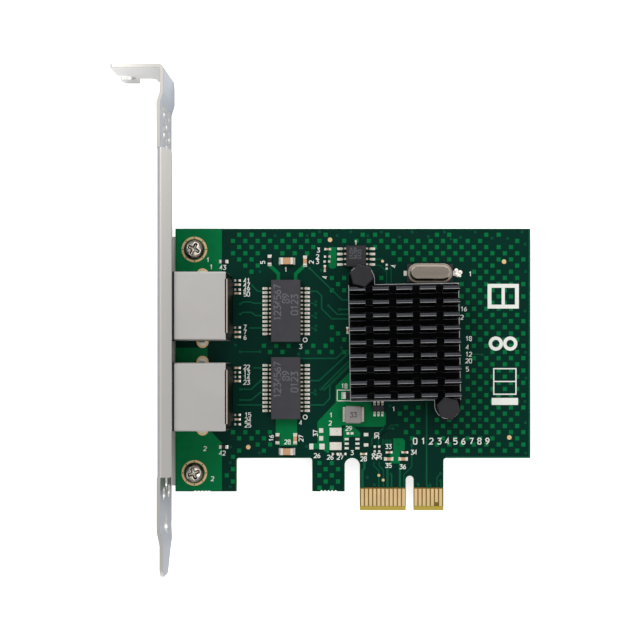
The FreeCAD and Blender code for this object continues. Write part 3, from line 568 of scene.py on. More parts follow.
@dataclass
class Sketch:
    """Collects flat shapes and prisms, in millimetres, and turns them into one piece."""

    mesh: bmesh.types.BMesh = field(default_factory=bmesh.new)

    def corners(self, places: Iterable[Sequence[float]]) -> Corners:
        """Adds corners at places given in millimetres."""
        return [self.mesh.verts.new([value * MM for value in place]) for place in places]

    def level_loop(self, outline: Iterable[Point], height: float) -> Corners:
        """Adds the corners of an outline at one height."""
        return self.corners((x, y, height) for x, y in outline)

    def skin(self, loops: Sequence[Corners]) -> None:
        """Joins each loop of corners to the next with a wall."""
        for low, high in zip(loops, loops[1:]):
            for index in range(len(low)):
                after = (index + 1) % len(low)
                self.mesh.faces.new((low[index], low[after], high[after], high[index]))

    def closed(self, loops: Sequence[Corners]) -> None:
        """Joins loops of corners and closes both ends."""
        self.skin(loops)
        self.mesh.faces.new(loops[-1])
        self.mesh.faces.new(loops[0][::-1])

    def prism(self, outline: Sequence[Point], span: Span) -> None:
        """Adds an upright prism.

        Args:
            outline: corners, anticlockwise from above.
            span: lower and upper height.
        """
        self.closed([self.level_loop(outline, height) for height in span])

    def plate(self, x_span: Span, y_span: Span, span: Span) -> None:
        """Adds an upright block between two values along each axis."""
        left, right = x_span
        low, high = y_span
        self.prism([(left, low), (right, low), (right, high), (left, high)], span)

    def disc(self, x: float, y: float, radius: float, span: Span, sides: int = 24) -> None:
        """Adds an upright disc."""
        self.prism(circle(x, y, radius, sides), span)

    def ring(self, x: float, y: float, outer: float, inner: float, span: Span, sides: int = 40) -> None:
        """Adds a flat ring.

        Args:
            x: centre.
            y: centre.
            outer: outer radius.
            inner: inner radius.
            span: lower and upper height.
            sides: number of straight pieces round the ring.
        """
        outside, inside = (
            [self.level_loop(circle(x, y, radius, sides), height) for height in span]
            for radius in (outer, inner)
        )
        self.skin([outside[0], outside[1], inside[1], inside[0], outside[0]])

    def ribbon(self, points: Sequence[Point], width: float, span: Span) -> None:
        """Adds a strip of even width along a line.

        Args:
            points: the line's corners.
            width: width of the strip.
            span: lower and upper height.
        """
        left: list[Point] = []
        right: list[Point] = []
        for index, (x, y) in enumerate(points):
            before = points[max(index - 1, 0)]
            after = points[min(index + 1, len(points) - 1)]
            into = Vector((x - before[0], y - before[1])) if index else None
            out = Vector((after[0] - x, after[1] - y)) if index < len(points) - 1 else None
            into = (into or out).normalized()
            out = (out or into).normalized()
            normal = Vector((-into.y - out.y, into.x + out.x)).normalized()
            reach = width / 2 / max(SHARPEST_MITRE, normal.x * -into.y + normal.y * into.x)
            left.append((x + normal.x * reach, y + normal.y * reach))
            right.append((x - normal.x * reach, y - normal.y * reach))
        self.prism(right + left[::-1], span)

    def dome(self, x: float, y: float, radius: float, foot: float, height: float) -> None:
        """Adds a low round mound, pointing down when the height is negative."""
        rings = 4
        sides = 14
        loops = []
        for ring in range(rings):
            angle = math.pi / 2 * ring / rings
            outline = circle(x, y, radius * math.cos(angle), sides)
            loops.append(self.level_loop(outline, foot + height * math.sin(angle)))
        self.skin(loops)
        self.fan(loops[-1], (x, y, foot + height))

    def fan(self, loop: Corners, place: Place) -> None:
        """Closes a loop with triangles that meet at one place."""
        tip = self.corners([place])[0]
        for index, corner in enumerate(loop):
            self.mesh.faces.new((corner, loop[(index + 1) % len(loop)], tip))

    def pad(self, x: float, y: float, width: float, height: float, span: Span) -> None:
        """Adds an upright block round a middle."""
        self.plate((x - width / 2, x + width / 2), (y - height / 2, y + height / 2), span)

    def piece(self, name: str, finish: Finish, slot: str, smooth: bool = False) -> bpy.types.Object:
        """Turns the collected shapes into a piece that rides on the card.

        Args:
            name: the piece's name.
            finish: its finish.
            slot: not used.
            smooth: whether its faces are shaded smooth.

        Returns:
            The new object.
        """
        bmesh.ops.recalc_face_normals(self.mesh, faces=self.mesh.faces)
        data = bpy.data.meshes.new(name)
        self.mesh.to_mesh(data)
        self.mesh.free()
        if smooth:
            data.shade_smooth()
        piece = bpy.data.objects.new(name, data)
        bpy.context.scene.collection.objects.link(piece)
        piece.data.materials.append(finish.material())
        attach(piece, "root")
        LOG.info("%s: %d faces", name, len(data.polygons))
        return piece


def circle(x: float, y: float, radius: float, sides: int) -> list[Point]:
    """Corners of a regular outline, anticlockwise."""
    turns = [math.tau * index / sides for index in range(sides)]
    return [(x + radius * math.cos(turn), y + radius * math.sin(turn)) for turn in turns]


def solids(node: str) -> list[tuple[Vector, Vector]]:
    """Boxes of a node's separate solids.

    Args:
        node: name of a CAD node.

    Returns:
        Lowest and highest corner of each solid, in millimetres.
    """
    mesh = bmesh.new()
    mesh.from_mesh(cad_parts[node].data)
    bmesh.ops.remove_doubles(mesh, verts=mesh.verts, dist=WELD * MM)
    waiting = set(mesh.verts)
    boxes = []
    while waiting:
        group = [waiting.pop()]
        corners = []
        while group:
            vert = group.pop()
            corners.append(vert.co / MM)
            for edge in vert.link_edges:
                other = edge.other_vert(vert)
                if other in waiting:
                    waiting.remove(other)
                    group.append(other)
        low = Vector(min(c[i] for c in corners) for i in range(3))
        high = Vector(max(c[i] for c in corners) for i in range(3))
        boxes.append((low, high))
    mesh.free()
    return sorted(boxes, key=lambda pair: (round(pair[0].x, 2), round(pair[0].y, 2)))


# Strokes of plain figures in a box 0.6 wide and 1 high.
FIGURES: dict[str, tuple[tuple[Point, ...], ...]] = {
    "0": (
        ((0.1, 0), (0.5, 0), (0.6, 0.15), (0.6, 0.85), (0.5, 1), (0.1, 1), (0, 0.85), (0, 0.15), (0.1, 0)),
    ),
    "1": (((0.1, 0.8), (0.35, 1), (0.35, 0)),),
    "2": (((0, 0.85), (0.15, 1), (0.45, 1), (0.6, 0.85), (0.6, 0.6), (0, 0), (0.6, 0)),),
    "3": (
        ((0, 1), (0.6, 1), (0.3, 0.6), (0.5, 0.55), (0.6, 0.4), (0.6, 0.15), (0.45, 0), (0.1, 0), (0, 0.1)),
    ),
    "4": (((0.45, 0), (0.45, 1), (0, 0.3), (0.6, 0.3)),),
    "5": (((0.6, 1), (0.05, 1), (0.05, 0.55), (0.45, 0.6), (0.6, 0.45), (0.6, 0.15), (0.45, 0), (0, 0)),),
    "6": (((0.5, 1), (0.1, 0.65), (0, 0.3), (0.15, 0), (0.45, 0), (0.6, 0.2), (0.5, 0.5), (0.1, 0.5)),),
    "7": (((0, 1), (0.6, 1), (0.2, 0)),),
    "8": (
        ((0.15, 0.55), (0, 0.75), (0.1, 1), (0.5, 1), (0.6, 0.75), (0.45, 0.55), (0.15, 0.55)),
        ((0.15, 0.55), (0, 0.25), (0.1, 0), (0.5, 0), (0.6, 0.25), (0.45, 0.55)),
    ),
    "9": (((0.1, 0), (0.5, 0.35), (0.6, 0.7), (0.45, 1), (0.15, 1), (0, 0.8), (0.1, 0.5), (0.5, 0.5)),),
}


class Reading(Enum):
    """Direction in which a legend reads."""

    ACROSS = 0
    UP = 1


@dataclass(frozen=True)
class Legend:
    """A plain number printed on the board."""

    x: float
    y: float
    text: str
    reading: Reading = Reading.ACROSS
    height: float = 1.0
    pitch: float = 0.82
    stroke: float = 0.19

    def draw(self, sketch: Sketch, span: Span) -> None:
        """Draws the number's strokes.

        Args:
            sketch: the sketch that gets them.
            span: lower and upper height of the ink.
        """
        for place, figure in enumerate(self.text):
            for stroke in FIGURES.get(figure, ()):
                points = []
                for u, v in stroke:
                    along = (u + place * self.pitch) * self.height
                    up = (v - 0.5) * self.height
                    if self.reading is Reading.ACROSS:
                        points.append((self.x + along, self.y + up))
                    else:
                        points.append((self.x - up, self.y + along))
                sketch.ribbon(points, self.stroke * self.height, span)


@dataclass
class Board:
    """The printed board's artwork: copper under mask, vias, gold, bare pads and white legends."""

    layer: float = 0.02
    wide_rise: float = 1.2  # layers of different kinds end at different heights, so none flickers in another
    track_rise: float = 1.4
    via_rise: float = 1.6
    track_share: float = 0.75
    square: float = 1.0
    square_pitch: float = 3.0
    row_pitch: float = 1.498
    square_origin: Point = (15.59, 48.95)
    edge_gap: float = 0.25
    via_gap: float = 0.95
    dot_gap: float = 1.2
    near_edge: float = 12.7
    legs_low: float = 4.75
    left_leg: Span = (-45.0, -42.1)
    right_leg: Span = (-23.7, -15.8)
    via: Point = (0.34, 0.16)
    via_sides: int = 14
    side_rim: Span = (0.42, 0.02)
    near_rim: Span = (0.03, 0.38)
    near_rim_start: float = 8.8
    seam: float = 0.01
    gold_rise: float = 0.04
    land: Point = (3.1, 2.56)
    land_sides: int = 56
    mouth_circle: float = 2.82
    mouth_count: int = 8
    mouth_radius: float = 0.16
    mouth_rise: float = 0.05
    mouth_sides: int = 12
    leg_x: float = -50.3
    leg_inset: float = 0.12
    leg_ring: Point = (1.47, 0.92)
    leg_tin: float = 0.95
    leg_tin_rise: float = 0.05
    leg_tin_sides: int = 28
    pad_rise: float = 0.06
    ink_rise: float = 0.035
    scale_start: Point = (0.9, 16.8)
    scale_pitch: float = 1.95
    scale_height: float = 1.4
    outline_width: float = 0.2
    frame_gap: float = 0.005

    ROWS = range(-32, 15)
    COLUMNS = range(-52, 12)

    COPPER = (
        ((-56.7, 68.2), (-56.7, 58.1), (-45.6, 58.1), (-45.6, 68.2)),
        ((-19.7, 63.9), (-19.7, 59.2), (-19.2, 58.7), (-18.3, 58.7), (-17.8, 59.2), (-17.8, 63.9)),
        ((-56.7, 39.5), (-56.7, 36.0), (-49.1, 36.0), (-49.1, 39.5)),
        ((-56.7, 4.8), (-45.6, 4.8), (-45.6, 16.4), (-48.3, 19.2), (-56.7, 19.2)),
        ((-31.7, 15.7), (-27.4, 15.7), (-27.4, 22.1), (-31.7, 22.1)),
        (
            (-14.0, 34.1), (-18.0, 30.2), (-18.0, 26.2), (-22.4, 21.5), (-22.4, 16.3), (-24.2, 16.3),
            (-24.2, 14.9), (-21.4, 14.9), (-20.0, 13.9), (-19.6, 13.9), (-19.6, 19.5), (-16.5, 20.1),
            (-16.5, 20.7), (-12.7, 20.3), (-6.4, 20.3), (-5.8, 20.9), (-5.8, 23.4), (-6.4, 24.4),
            (-9.3, 25.4), (-9.3, 26.4), (-14.0, 26.4),
        ),
        ((-16.1, 19.9), (-16.1, 16.3), (-14.5, 17.9), (-12.0, 17.9), (-12.0, 18.9), (-13.7, 20.5)),
        (
            (-4.0, 17.5), (-4.0, 14.3), (-4.8, 13.9), (-4.8, 11.4), (-2.4, 11.4), (-2.4, 14.3), (-1.2, 14.7),
            (-1.2, 16.9), (-1.7, 17.5),
        ),
    )
    # Tracks under the mask: width and corners.
    TRACKS = (
        (0.45, ((-38.5, 54.8), (-36.9, 53.2), (-35.7, 53.2))),
        (0.45, ((-41.2, 50.1), (-40.4, 50.6), (-38.5, 50.6), (-37.8, 50.3), (-35.7, 50.3))),
        (0.45, ((-41.2, 47.6), (-40.4, 48.1), (-38.5, 48.1), (-37.4, 47.3), (-35.7, 47.3))),
        (0.45, ((-39.0, 44.3), (-35.7, 44.3))), (0.3, ((-41.2, 38.5), (-36.4, 38.5))),
        (0.45, ((-24.4, 53.2), (-22.5, 53.2), (-21.4, 52.1), (-21.4, 49.0), (-18.9, 46.5), (-14.9, 46.5))),
        (0.45, ((-24.4, 58.9), (-16.4, 51.1), (-14.5, 51.1))),
        (0.45, ((-19.7, 49.7), (-17.6, 47.6), (-14.5, 47.6))), (0.45, ((-17.1, 48.8), (-14.5, 48.8))),
        (0.45, ((-26.5, 36.9), (-17.8, 36.9), (-15.9, 38.8), (-14.5, 38.8))),
        (0.3, ((-24.4, 50.3), (-23.5, 50.3), (-22.8, 49.8))),
        (0.3, ((-24.4, 47.3), (-23.5, 47.3), (-22.8, 46.8))),
        (0.3, ((-24.4, 44.3), (-23.5, 44.3), (-22.8, 43.8))), (0.45, ((-38.1, 34.6), (-35.7, 34.6))),
        (0.45, ((-41.1, 29.4), (-38.5, 29.4), (-36.0, 31.7), (-35.5, 31.7))),
        (0.45, ((-41.1, 26.8), (-38.5, 26.8), (-36.2, 28.7), (-35.5, 28.7))),
        (0.45, ((-41.8, 25.6), (-35.7, 25.6))),
        (0.45, ((-24.4, 31.5), (-22.0, 31.5), (-16.6, 36.5), (-14.5, 38.5))),
        (0.45, ((-21.4, 29.6), (-14.5, 36.5))), (0.45, ((-20.6, 29.4), (-14.5, 35.6))),
        (0.45, ((-24.4, 25.6), (-20.9, 25.6), (-19.4, 27.2), (-19.4, 30.3), (-14.5, 35.2))),
        (0.3, ((-24.4, 28.6), (-23.5, 28.6), (-23.0, 28.2))), (0.3, ((-8.5, 61.0), (-6.5, 61.0))),
        (0.3, ((-8.5, 59.5), (-7.2, 59.5), (-5.6, 57.9), (-5.6, 55.1))),
        (0.3, ((-5.0, 59.0), (-4.5, 58.5), (-4.5, 55.1))), (0.3, ((15.2, 37.9), (17.6, 37.9))),
        (0.3, ((-6.4, 20.0), (-9.2, 17.3), (-9.2, 15.7))),
        (0.3, ((-3.0, 20.7), (-4.5, 20.7), (-7.6, 17.5), (-7.6, 15.7))),
        (0.3, ((-4.0, 19.9), (-5.2, 19.9), (-7.2, 17.9))), (0.5, ((4.1, 26.4), (4.1, 6.2), (4.6, 5.3))),
        (0.3, ((0.5, 15.9), (0.5, 10.6), (-1.4, 8.7), (-1.4, 5.3))),
        (0.3, ((-8.7, 11.8), (-8.7, 10.8), (-7.5, 9.7), (-7.5, 5.3))),
        (0.3, ((-7.4, 11.8), (-7.4, 10.8), (-6.4, 9.8), (-6.4, 5.3))), (0.7, ((-5.4, 10.2), (-5.4, 5.3))),
        (0.5, ((-4.4, 8.7), (-4.4, 5.3))), (0.7, ((-2.4, 11.4), (-2.4, 5.3))),
        (0.8, ((-11.0, 13.9), (-11.0, 10.2), (-11.5, 9.7), (-11.5, 5.3))),
        (0.3, ((7.5, 8.9), (6.6, 8.0), (6.6, 5.3))), (0.4, ((7.6, 7.1), (7.6, 5.3))),
        (0.3, ((2.0, 6.4), (2.4, 5.3))), (0.3, ((4.9, 6.2), (5.3, 5.3))),
    )
    WIDE_TRACKS = (
        (0.85, ((-33.9, 59.4), (-31.9, 57.5), (-31.9, 55.6))),
        (0.85, ((-25.6, 59.4), (-27.7, 57.4), (-27.7, 55.6))), (0.85, ((-32.1, 16.5), (-32.1, 22.4))),
        (0.85, ((-27.8, 16.5), (-27.8, 22.4))),
    )
    VIAS = (
        (-32.7, 66.7), (-24.9, 66.7), (-21.9, 67.6), (-17.6, 66.7), (-36.4, 58.0), (-42.3, 40.1),
        (-16.6, 39.5), (-21.5, 58.3), (-24.4, 58.8), (-41.2, 50.1), (-41.2, 47.6), (-41.2, 38.5),
        (-36.4, 38.5), (-22.8, 50.7), (-22.8, 49.8), (-22.8, 47.8), (-22.8, 46.8), (-22.8, 44.8),
        (-22.8, 43.8), (-19.7, 49.7), (-17.1, 48.8), (-27.0, 37.9), (-43.5, 15.4), (-36.5, 14.0),
        (-43.6, 11.6), (-43.6, 5.7), (-25.1, 15.5), (-41.1, 29.4), (-41.1, 26.8), (-21.6, 29.4),
        (-20.8, 29.4), (-23.0, 29.1), (-22.9, 28.2), (-14.3, 67.6), (-10.2, 66.7), (-6.9, 67.6),
        (-2.5, 66.4), (0.6, 67.6), (4.5, 66.5), (8.4, 67.6), (10.0, 65.9), (12.3, 66.3), (15.9, 67.6),
        (20.0, 66.1), (23.8, 66.0), (27.3, 67.6), (28.0, 64.6), (28.1, 58.0), (28.0, 48.4), (28.1, 38.4),
        (17.6, 37.8), (28.2, 32.1), (28.0, 26.4), (28.1, 21.3), (28.2, 13.9), (17.0, 22.2), (7.5, 9.0),
        (7.5, 7.2), (2.0, 6.4), (4.9, 6.2), (0.5, 15.9), (-4.6, 8.8), (-8.6, 6.2), (-10.3, 8.0),
        (-3.0, 20.7), (-4.0, 19.9), (-4.8, 25.4), (-6.4, 16.9), (-5.6, 16.9), (-4.8, 16.9), (-6.4, 16.3),
        (-5.6, 16.3), (-4.8, 16.3), (-2.7, 16.0), (-11.1, 26.0), (-10.3, 26.0), (-9.7, 26.0),
    )
    # Places where the pattern of small squares is left out, as low and high corners.
    CLEAR = (
        ((-57.0, 19.0), (-44.4, 69.0)), ((-44.4, 19.9), (-40.9, 60.0)), ((-57.0, 4.0), (-45.6, 20.0)),
        ((-45.6, 13.6), (-43.9, 20.0)), ((-44.4, 19.9), (-33.0, 24.0)), ((-39.2, 14.0), (-38.0, 15.0)),
        ((-41.0, 23.0), (-24.2, 37.4)), ((-41.0, 41.2), (-24.2, 57.2)), ((-36.0, 57.2), (-24.4, 61.4)),
        ((-34.6, 61.0), (-33.4, 63.0)), ((-27.0, 39.4), (-25.8, 41.0)), ((-42.0, 38.0), (-36.6, 40.6)),
        ((-24.4, 57.0), (-17.0, 63.2)), ((-21.0, 57.0), (-17.0, 64.6)), ((-24.6, 41.8), (-20.9, 57.0)),
        ((-20.9, 45.2), (-14.0, 52.6)), ((-17.0, 43.6), (-14.0, 45.4)), ((-24.6, 21.6), (-14.0, 37.6)),
        ((-33.4, 12.0), (-12.0, 23.0)), ((-17.6, 58.0), (-9.4, 64.8)), ((-9.4, 57.0), (-4.9, 62.9)),
        ((-3.8, 55.6), (14.5, 60.0)), ((-15.4, 26.5), (12.0, 55.0)), ((12.0, 27.5), (13.0, 50.0)),
        ((13.0, 34.5), (14.8, 42.6)), ((-15.0, 12.5), (-3.4, 27.0)), ((3.2, 13.0), (5.6, 27.0)),
        ((5.6, 22.6), (12.0, 28.0)), ((-13.0, 4.0), (-0.2, 17.5)), ((-0.6, 4.0), (8.6, 13.0)),
        ((0.0, 13.5), (3.2, 15.5)),
    )
    # Parts of the board whose pattern stands half a pitch to the side.
    SHIFTED = (((-57.0, 4.0), (-33.0, 20.0)), ((-3.4, 13.0), (3.3, 26.0)))
    # Bare gold dots: middle and radius.
    GOLD_DOTS = (
        (-19.35, 65.7, 0.55), (22.9, 60.4, 0.55), (24.2, 17.7, 0.55), (-39.2, 15.35, 0.55),
        (-6.6, 60.5, 0.35), (-7.5, 8.5, 0.35), (-6.45, 7.35, 0.35),
    )
    # Bare tinned pads of parts that are not fitted: middle, width and height.
    BARE_PADS = (
        (-18.0, 19.1, 2.9, 1.9), (-18.0, 15.6, 2.9, 1.9), (-23.9, 15.5, 1.0, 1.4), (-21.3, 15.5, 1.3, 1.4),
        (-21.5, 19.4, 1.0, 1.1), (-21.5, 17.5, 1.0, 1.1), (-15.0, 18.7, 0.7, 0.6), (-14.0, 18.7, 0.7, 0.6),
        (-15.3, 17.3, 1.0, 0.55), (-15.3, 16.2, 1.0, 0.55), (-15.3, 15.1, 1.0, 0.55),
        (-12.7, 17.3, 1.0, 0.55), (-12.7, 16.2, 1.0, 0.55), (-12.7, 15.1, 1.0, 0.55),
        (-10.6, 18.4, 1.1, 0.8), (-10.6, 15.9, 1.1, 0.8), (-5.6, 59.6, 0.5, 0.5), (-5.6, 58.7, 0.5, 0.5),
    )
    # Printed numbers: where each one starts, and its figures.
    LEGENDS = (
        (12.4, 48.9, "16"), (12.4, 46.9, "2"), (13.6, 41.7, "18"), (13.7, 39.6, "4"), (13.6, 37.9, "12"),
        (13.6, 36.3, "20"), (13.7, 34.3, "5"), (14.4, 57.4, "1"), (-13.4, 65.0, "1"), (-49.3, 60.8, "1"),
        (-48.5, 59.1, "1"), (-46.1, 59.0, "43"), (-30.4, 58.5, "1"), (-22.5, 63.2, "3"), (-22.7, 61.6, "2"),
        (-22.7, 60.4, "3"), (-40.3, 55.8, "41"), (-40.3, 54.7, "47"), (-40.3, 53.6, "49"),
        (-40.3, 52.5, "50"), (-40.3, 44.5, "7"), (-40.3, 43.3, "7"), (-40.3, 42.0, "6"), (-26.8, 39.8, "3"),
        (-40.3, 34.8, "22"), (-40.3, 33.5, "13"), (-40.3, 32.3, "14"), (-40.3, 31.1, "23"),
        (-40.0, 23.2, "15"), (-40.0, 22.0, "24"), (-40.0, 20.7, "25"), (-50.0, 15.0, "2"),
        (-46.2, 13.9, "42"), (-48.2, 7.7, "2"), (-30.4, 16.6, "28"), (-26.8, 21.3, "4"), (-23.2, 13.3, "26"),
        (-20.0, 12.9, "26"), (-17.6, 12.9, "27"), (-19.4, 23.1, "1"), (-19.6, 21.2, "2"),
        (-16.6, 30.2, "18"), (-4.2, 24.6, "1"), (-15.5, 19.9, "29"), (-14.3, 14.0, "3"), (-11.9, 12.5, "28"),
        (-5.9, 15.5, "33"), (0.3, 14.1, "34"), (-5.9, 10.9, "35"), (-2.4, 10.6, "36"),
    )
    UPRIGHT_LEGENDS = (
        (-35.7, 59.9, "5"), (-23.9, 60.0, "2"), (-20.6, 56.3, "4"), (-33.6, 16.8, "16"), (-26.4, 16.8, "27"),
        (-22.9, 18.0, "37"), (-8.0, 17.4, "30"), (-8.6, 12.4, "29"), (-7.4, 12.4, "30"), (-3.9, 59.0, "4"),
    )
    # Printed rings: middle, outer and inner radius, and sides.
    RINGS = (
        (-25.4, 41.4, 0.6, 0.38, 24), (-25.4, 22.65, 0.6, 0.38, 24),
        (20.9, 40.5, 1.74, 0.9, 40), (24.4, 40.5, 1.74, 0.9, 40),
    )
    OUTLINES = (((-17.6, 26.6), (-17.6, 29.2), (-14.0, 29.2)), ((-17.6, 26.6), (-14.4, 26.6)))
    # Frames of the blank symbols: spans across and along the board, and the line's width.
    FRAMES = (((18.9, 26.5), (49.0, 55.0), 0.95), ((20.25, 25.95), (28.05, 34.55), 0.3))
    BARS = (((22.3, 23.1), (49.96, 54.04)), ((20.56, 25.64), (31.15, 31.45)), ((19.9, 26.3), (25.6, 27.3)))

    def top(self) -> float:
        """Height of the component face, in millimetres."""
        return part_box("circuit_board")[1].z / MM

    def bottom(self) -> float:
        """Height of the solder face, in millimetres."""
        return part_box("circuit_board")[0].z / MM

    def is_board(self, x: float, y: float) -> bool:
        """Whether a small square at this place lies wholly on the board."""
        low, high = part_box("circuit_board")
        reach = self.square / 2 + self.edge_gap
        if not (low.x / MM + reach < x < high.x / MM - reach and y < high.y / MM - reach):
            return False
        if y > self.near_edge + reach:
            return True
        left, right = self.left_leg, self.right_leg
        on_leg = (left[0] < x < left[1] - reach) or (right[0] + reach < x < right[1] - reach)
        return on_leg and y > self.legs_low + reach

    def is_free(self, x: float, y: float) -> bool:
        """Whether nothing else is drawn where a small square would go."""
        half = self.square / 2
        for low, high in self.CLEAR:
            if low[0] - half < x < high[0] + half and low[1] - half < y < high[1] + half:
                return False
        near_via = any(max(abs(x - u), abs(y - v)) < self.via_gap for u, v in self.VIAS)
        near_dot = any(max(abs(x - u), abs(y - v)) < self.dot_gap for u, v, _ in self.GOLD_DOTS)
        return self.is_board(x, y) and not near_via and not near_dot

    def squares(self, sketch: Sketch, span: Span) -> None:
        """Adds the pattern of small copper squares on the free parts of the board."""
        first_x, first_y = self.square_origin
        for row in self.ROWS:
            y = first_y + row * self.row_pitch
            for column in self.COLUMNS:
                x = first_x + column * self.square_pitch / 2
                moved = any(low[0] < x < high[0] and low[1] < y < high[1] for low, high in self.SHIFTED)
                if (column + row + moved) % 2 == 0 and self.is_free(x, y):
                    sketch.pad(x, y, self.square, self.square, span)

    def build(self) -> None:
        """Builds all the artwork, one piece for each material."""
        top, bottom = self.top(), self.bottom()
        self.copper(top)
        self.tracks(top)
        self.gold(top, bottom)
        self.bare_pads(top)
        self.ink((top, top + self.ink_rise))

    def copper(self, top: float) -> None:
        """Builds the copper areas, wide tracks and small squares under the mask."""
        face = (top, top + self.layer)
        sketch = Sketch()
        for zone in self.COPPER:
            sketch.prism(zone, face)
        for width, line in self.WIDE_TRACKS:
            sketch.ribbon(line, width, (top, top + self.layer * self.wide_rise))
        self.squares(sketch, face)
        sketch.piece("copper_under_mask", MASK_ON_COPPER, "mask_over_copper")

    def tracks(self, top: float) -> None:
        """Builds the tracks, the vias and the rim of copper along the board's right and near edges."""
        face = (top, top + self.layer)
        sketch = Sketch()
        for width, line in self.TRACKS:
            sketch.ribbon(line, width * self.track_share, (top, top + self.layer * self.track_rise))
        for x, y in self.VIAS:
            sketch.ring(x, y, *self.via, (top, top + self.layer * self.via_rise), self.via_sides)
        right, far = (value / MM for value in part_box("circuit_board")[1].xy)
        near = self.near_edge
        wide, inset = self.side_rim
        sketch.plate((right - wide, right - inset), (near + self.near_rim[0], far - inset), face)
        near_span = (near + self.near_rim[0], near + self.near_rim[1])
        sketch.plate((self.near_rim_start, right - wide - self.seam), near_span, face)
        sketch.piece("tracks_under_mask", MASK_ON_TRACK, "mask_over_copper")

    def gold(self, top: float, bottom: float) -> None:
        """Builds the gold lands and dots, and the via mouths in the screw lands."""
        above = (top, top + self.gold_rise)
        gold = Sketch()
        mouths = Sketch()
        for low, high in solids("bracket_screws"):
            x, y = (low.x + high.x) / 2, (low.y + high.y) / 2
            gold.ring(x, y, *self.land, above, self.land_sides)
            # dark discs of painted shade for the via holes round each screw land
            for u, v in circle(x, y, self.mouth_circle, self.mouth_count):
                mouths.disc(u, v, self.mouth_radius, (top, top + self.mouth_rise), self.mouth_sides)
        for x, y, radius in self.GOLD_DOTS:
            gold.disc(x, y, radius, above)
        for span in (above, (bottom - self.gold_rise, bottom)):
            for x, y in self.leg_places():
                gold.ring(x, y, *self.leg_ring, span)
        gold.piece("gold_lands", GOLD, "gold_plating")
        mouths.piece("land_via_mouths", VIA_MOUTH, "gold_plating")

    def bare_pads(self, top: float) -> None:
        """Builds the tinned pads without parts, and the tin round the shield legs."""
        sketch = Sketch()
        for x, y, width, height in self.BARE_PADS:
            sketch.pad(x, y, width, height, (top, top + self.pad_rise))
        for x, y in self.leg_places():
            sketch.disc(x, y, self.leg_tin, (top, top + self.leg_tin_rise), self.leg_tin_sides)
        sketch.piece("bare_tinned_pads", SOLDER, "solder")

    def leg_places(self) -> list[Point]:
        """Middles of the four shield legs."""
        places = []
        for number in (1, 2):
            low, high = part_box(f"jack_{number}_shield")
            places += [(self.leg_x, low.y / MM + self.leg_inset), (self.leg_x, high.y / MM - self.leg_inset)]
        return places

    def ink(self, span: Span) -> None:
        """Builds the printed numbers, pin marks, part outlines and three blank symbols."""
        sketch = Sketch()
        for legends, reading in ((self.LEGENDS, Reading.ACROSS), (self.UPRIGHT_LEGENDS, Reading.UP)):
            for x, y, text in legends:
                Legend(x, y, text, reading).draw(sketch, span)
        first, row = self.scale_start
        for index in range(10):
            figure = Legend(first + index * self.scale_pitch, row, str(index), height=self.scale_height)
            figure.draw(sketch, span)
        for x, y, outer, inner, sides in self.RINGS:
            sketch.ring(x, y, outer, inner, span, sides)
        for line in self.OUTLINES:
            sketch.ribbon(line, self.outline_width, span)
        for x_span, y_span, line in self.FRAMES:
            self.window(sketch, x_span, y_span, line, span)
        for x_span, y_span in self.BARS:
            sketch.plate(x_span, y_span, span)
        sketch.piece("white_legends", INK, "legend_ink")

    def window(self, sketch: Sketch, x_span: Span, y_span: Span, line: float, span: Span) -> None:
        """Adds a rectangular frame of four strips that meet without overlap."""
        left, right = x_span
        low, high = y_span
        sketch.plate((left, right), (low, low + line), span)
        sketch.plate((left, right), (high - line, high), span)
        inside = (low + line + self.frame_gap, high - line - self.frame_gap)
        for start in (left, right - line):
            sketch.plate((start, start + line), inside, span)


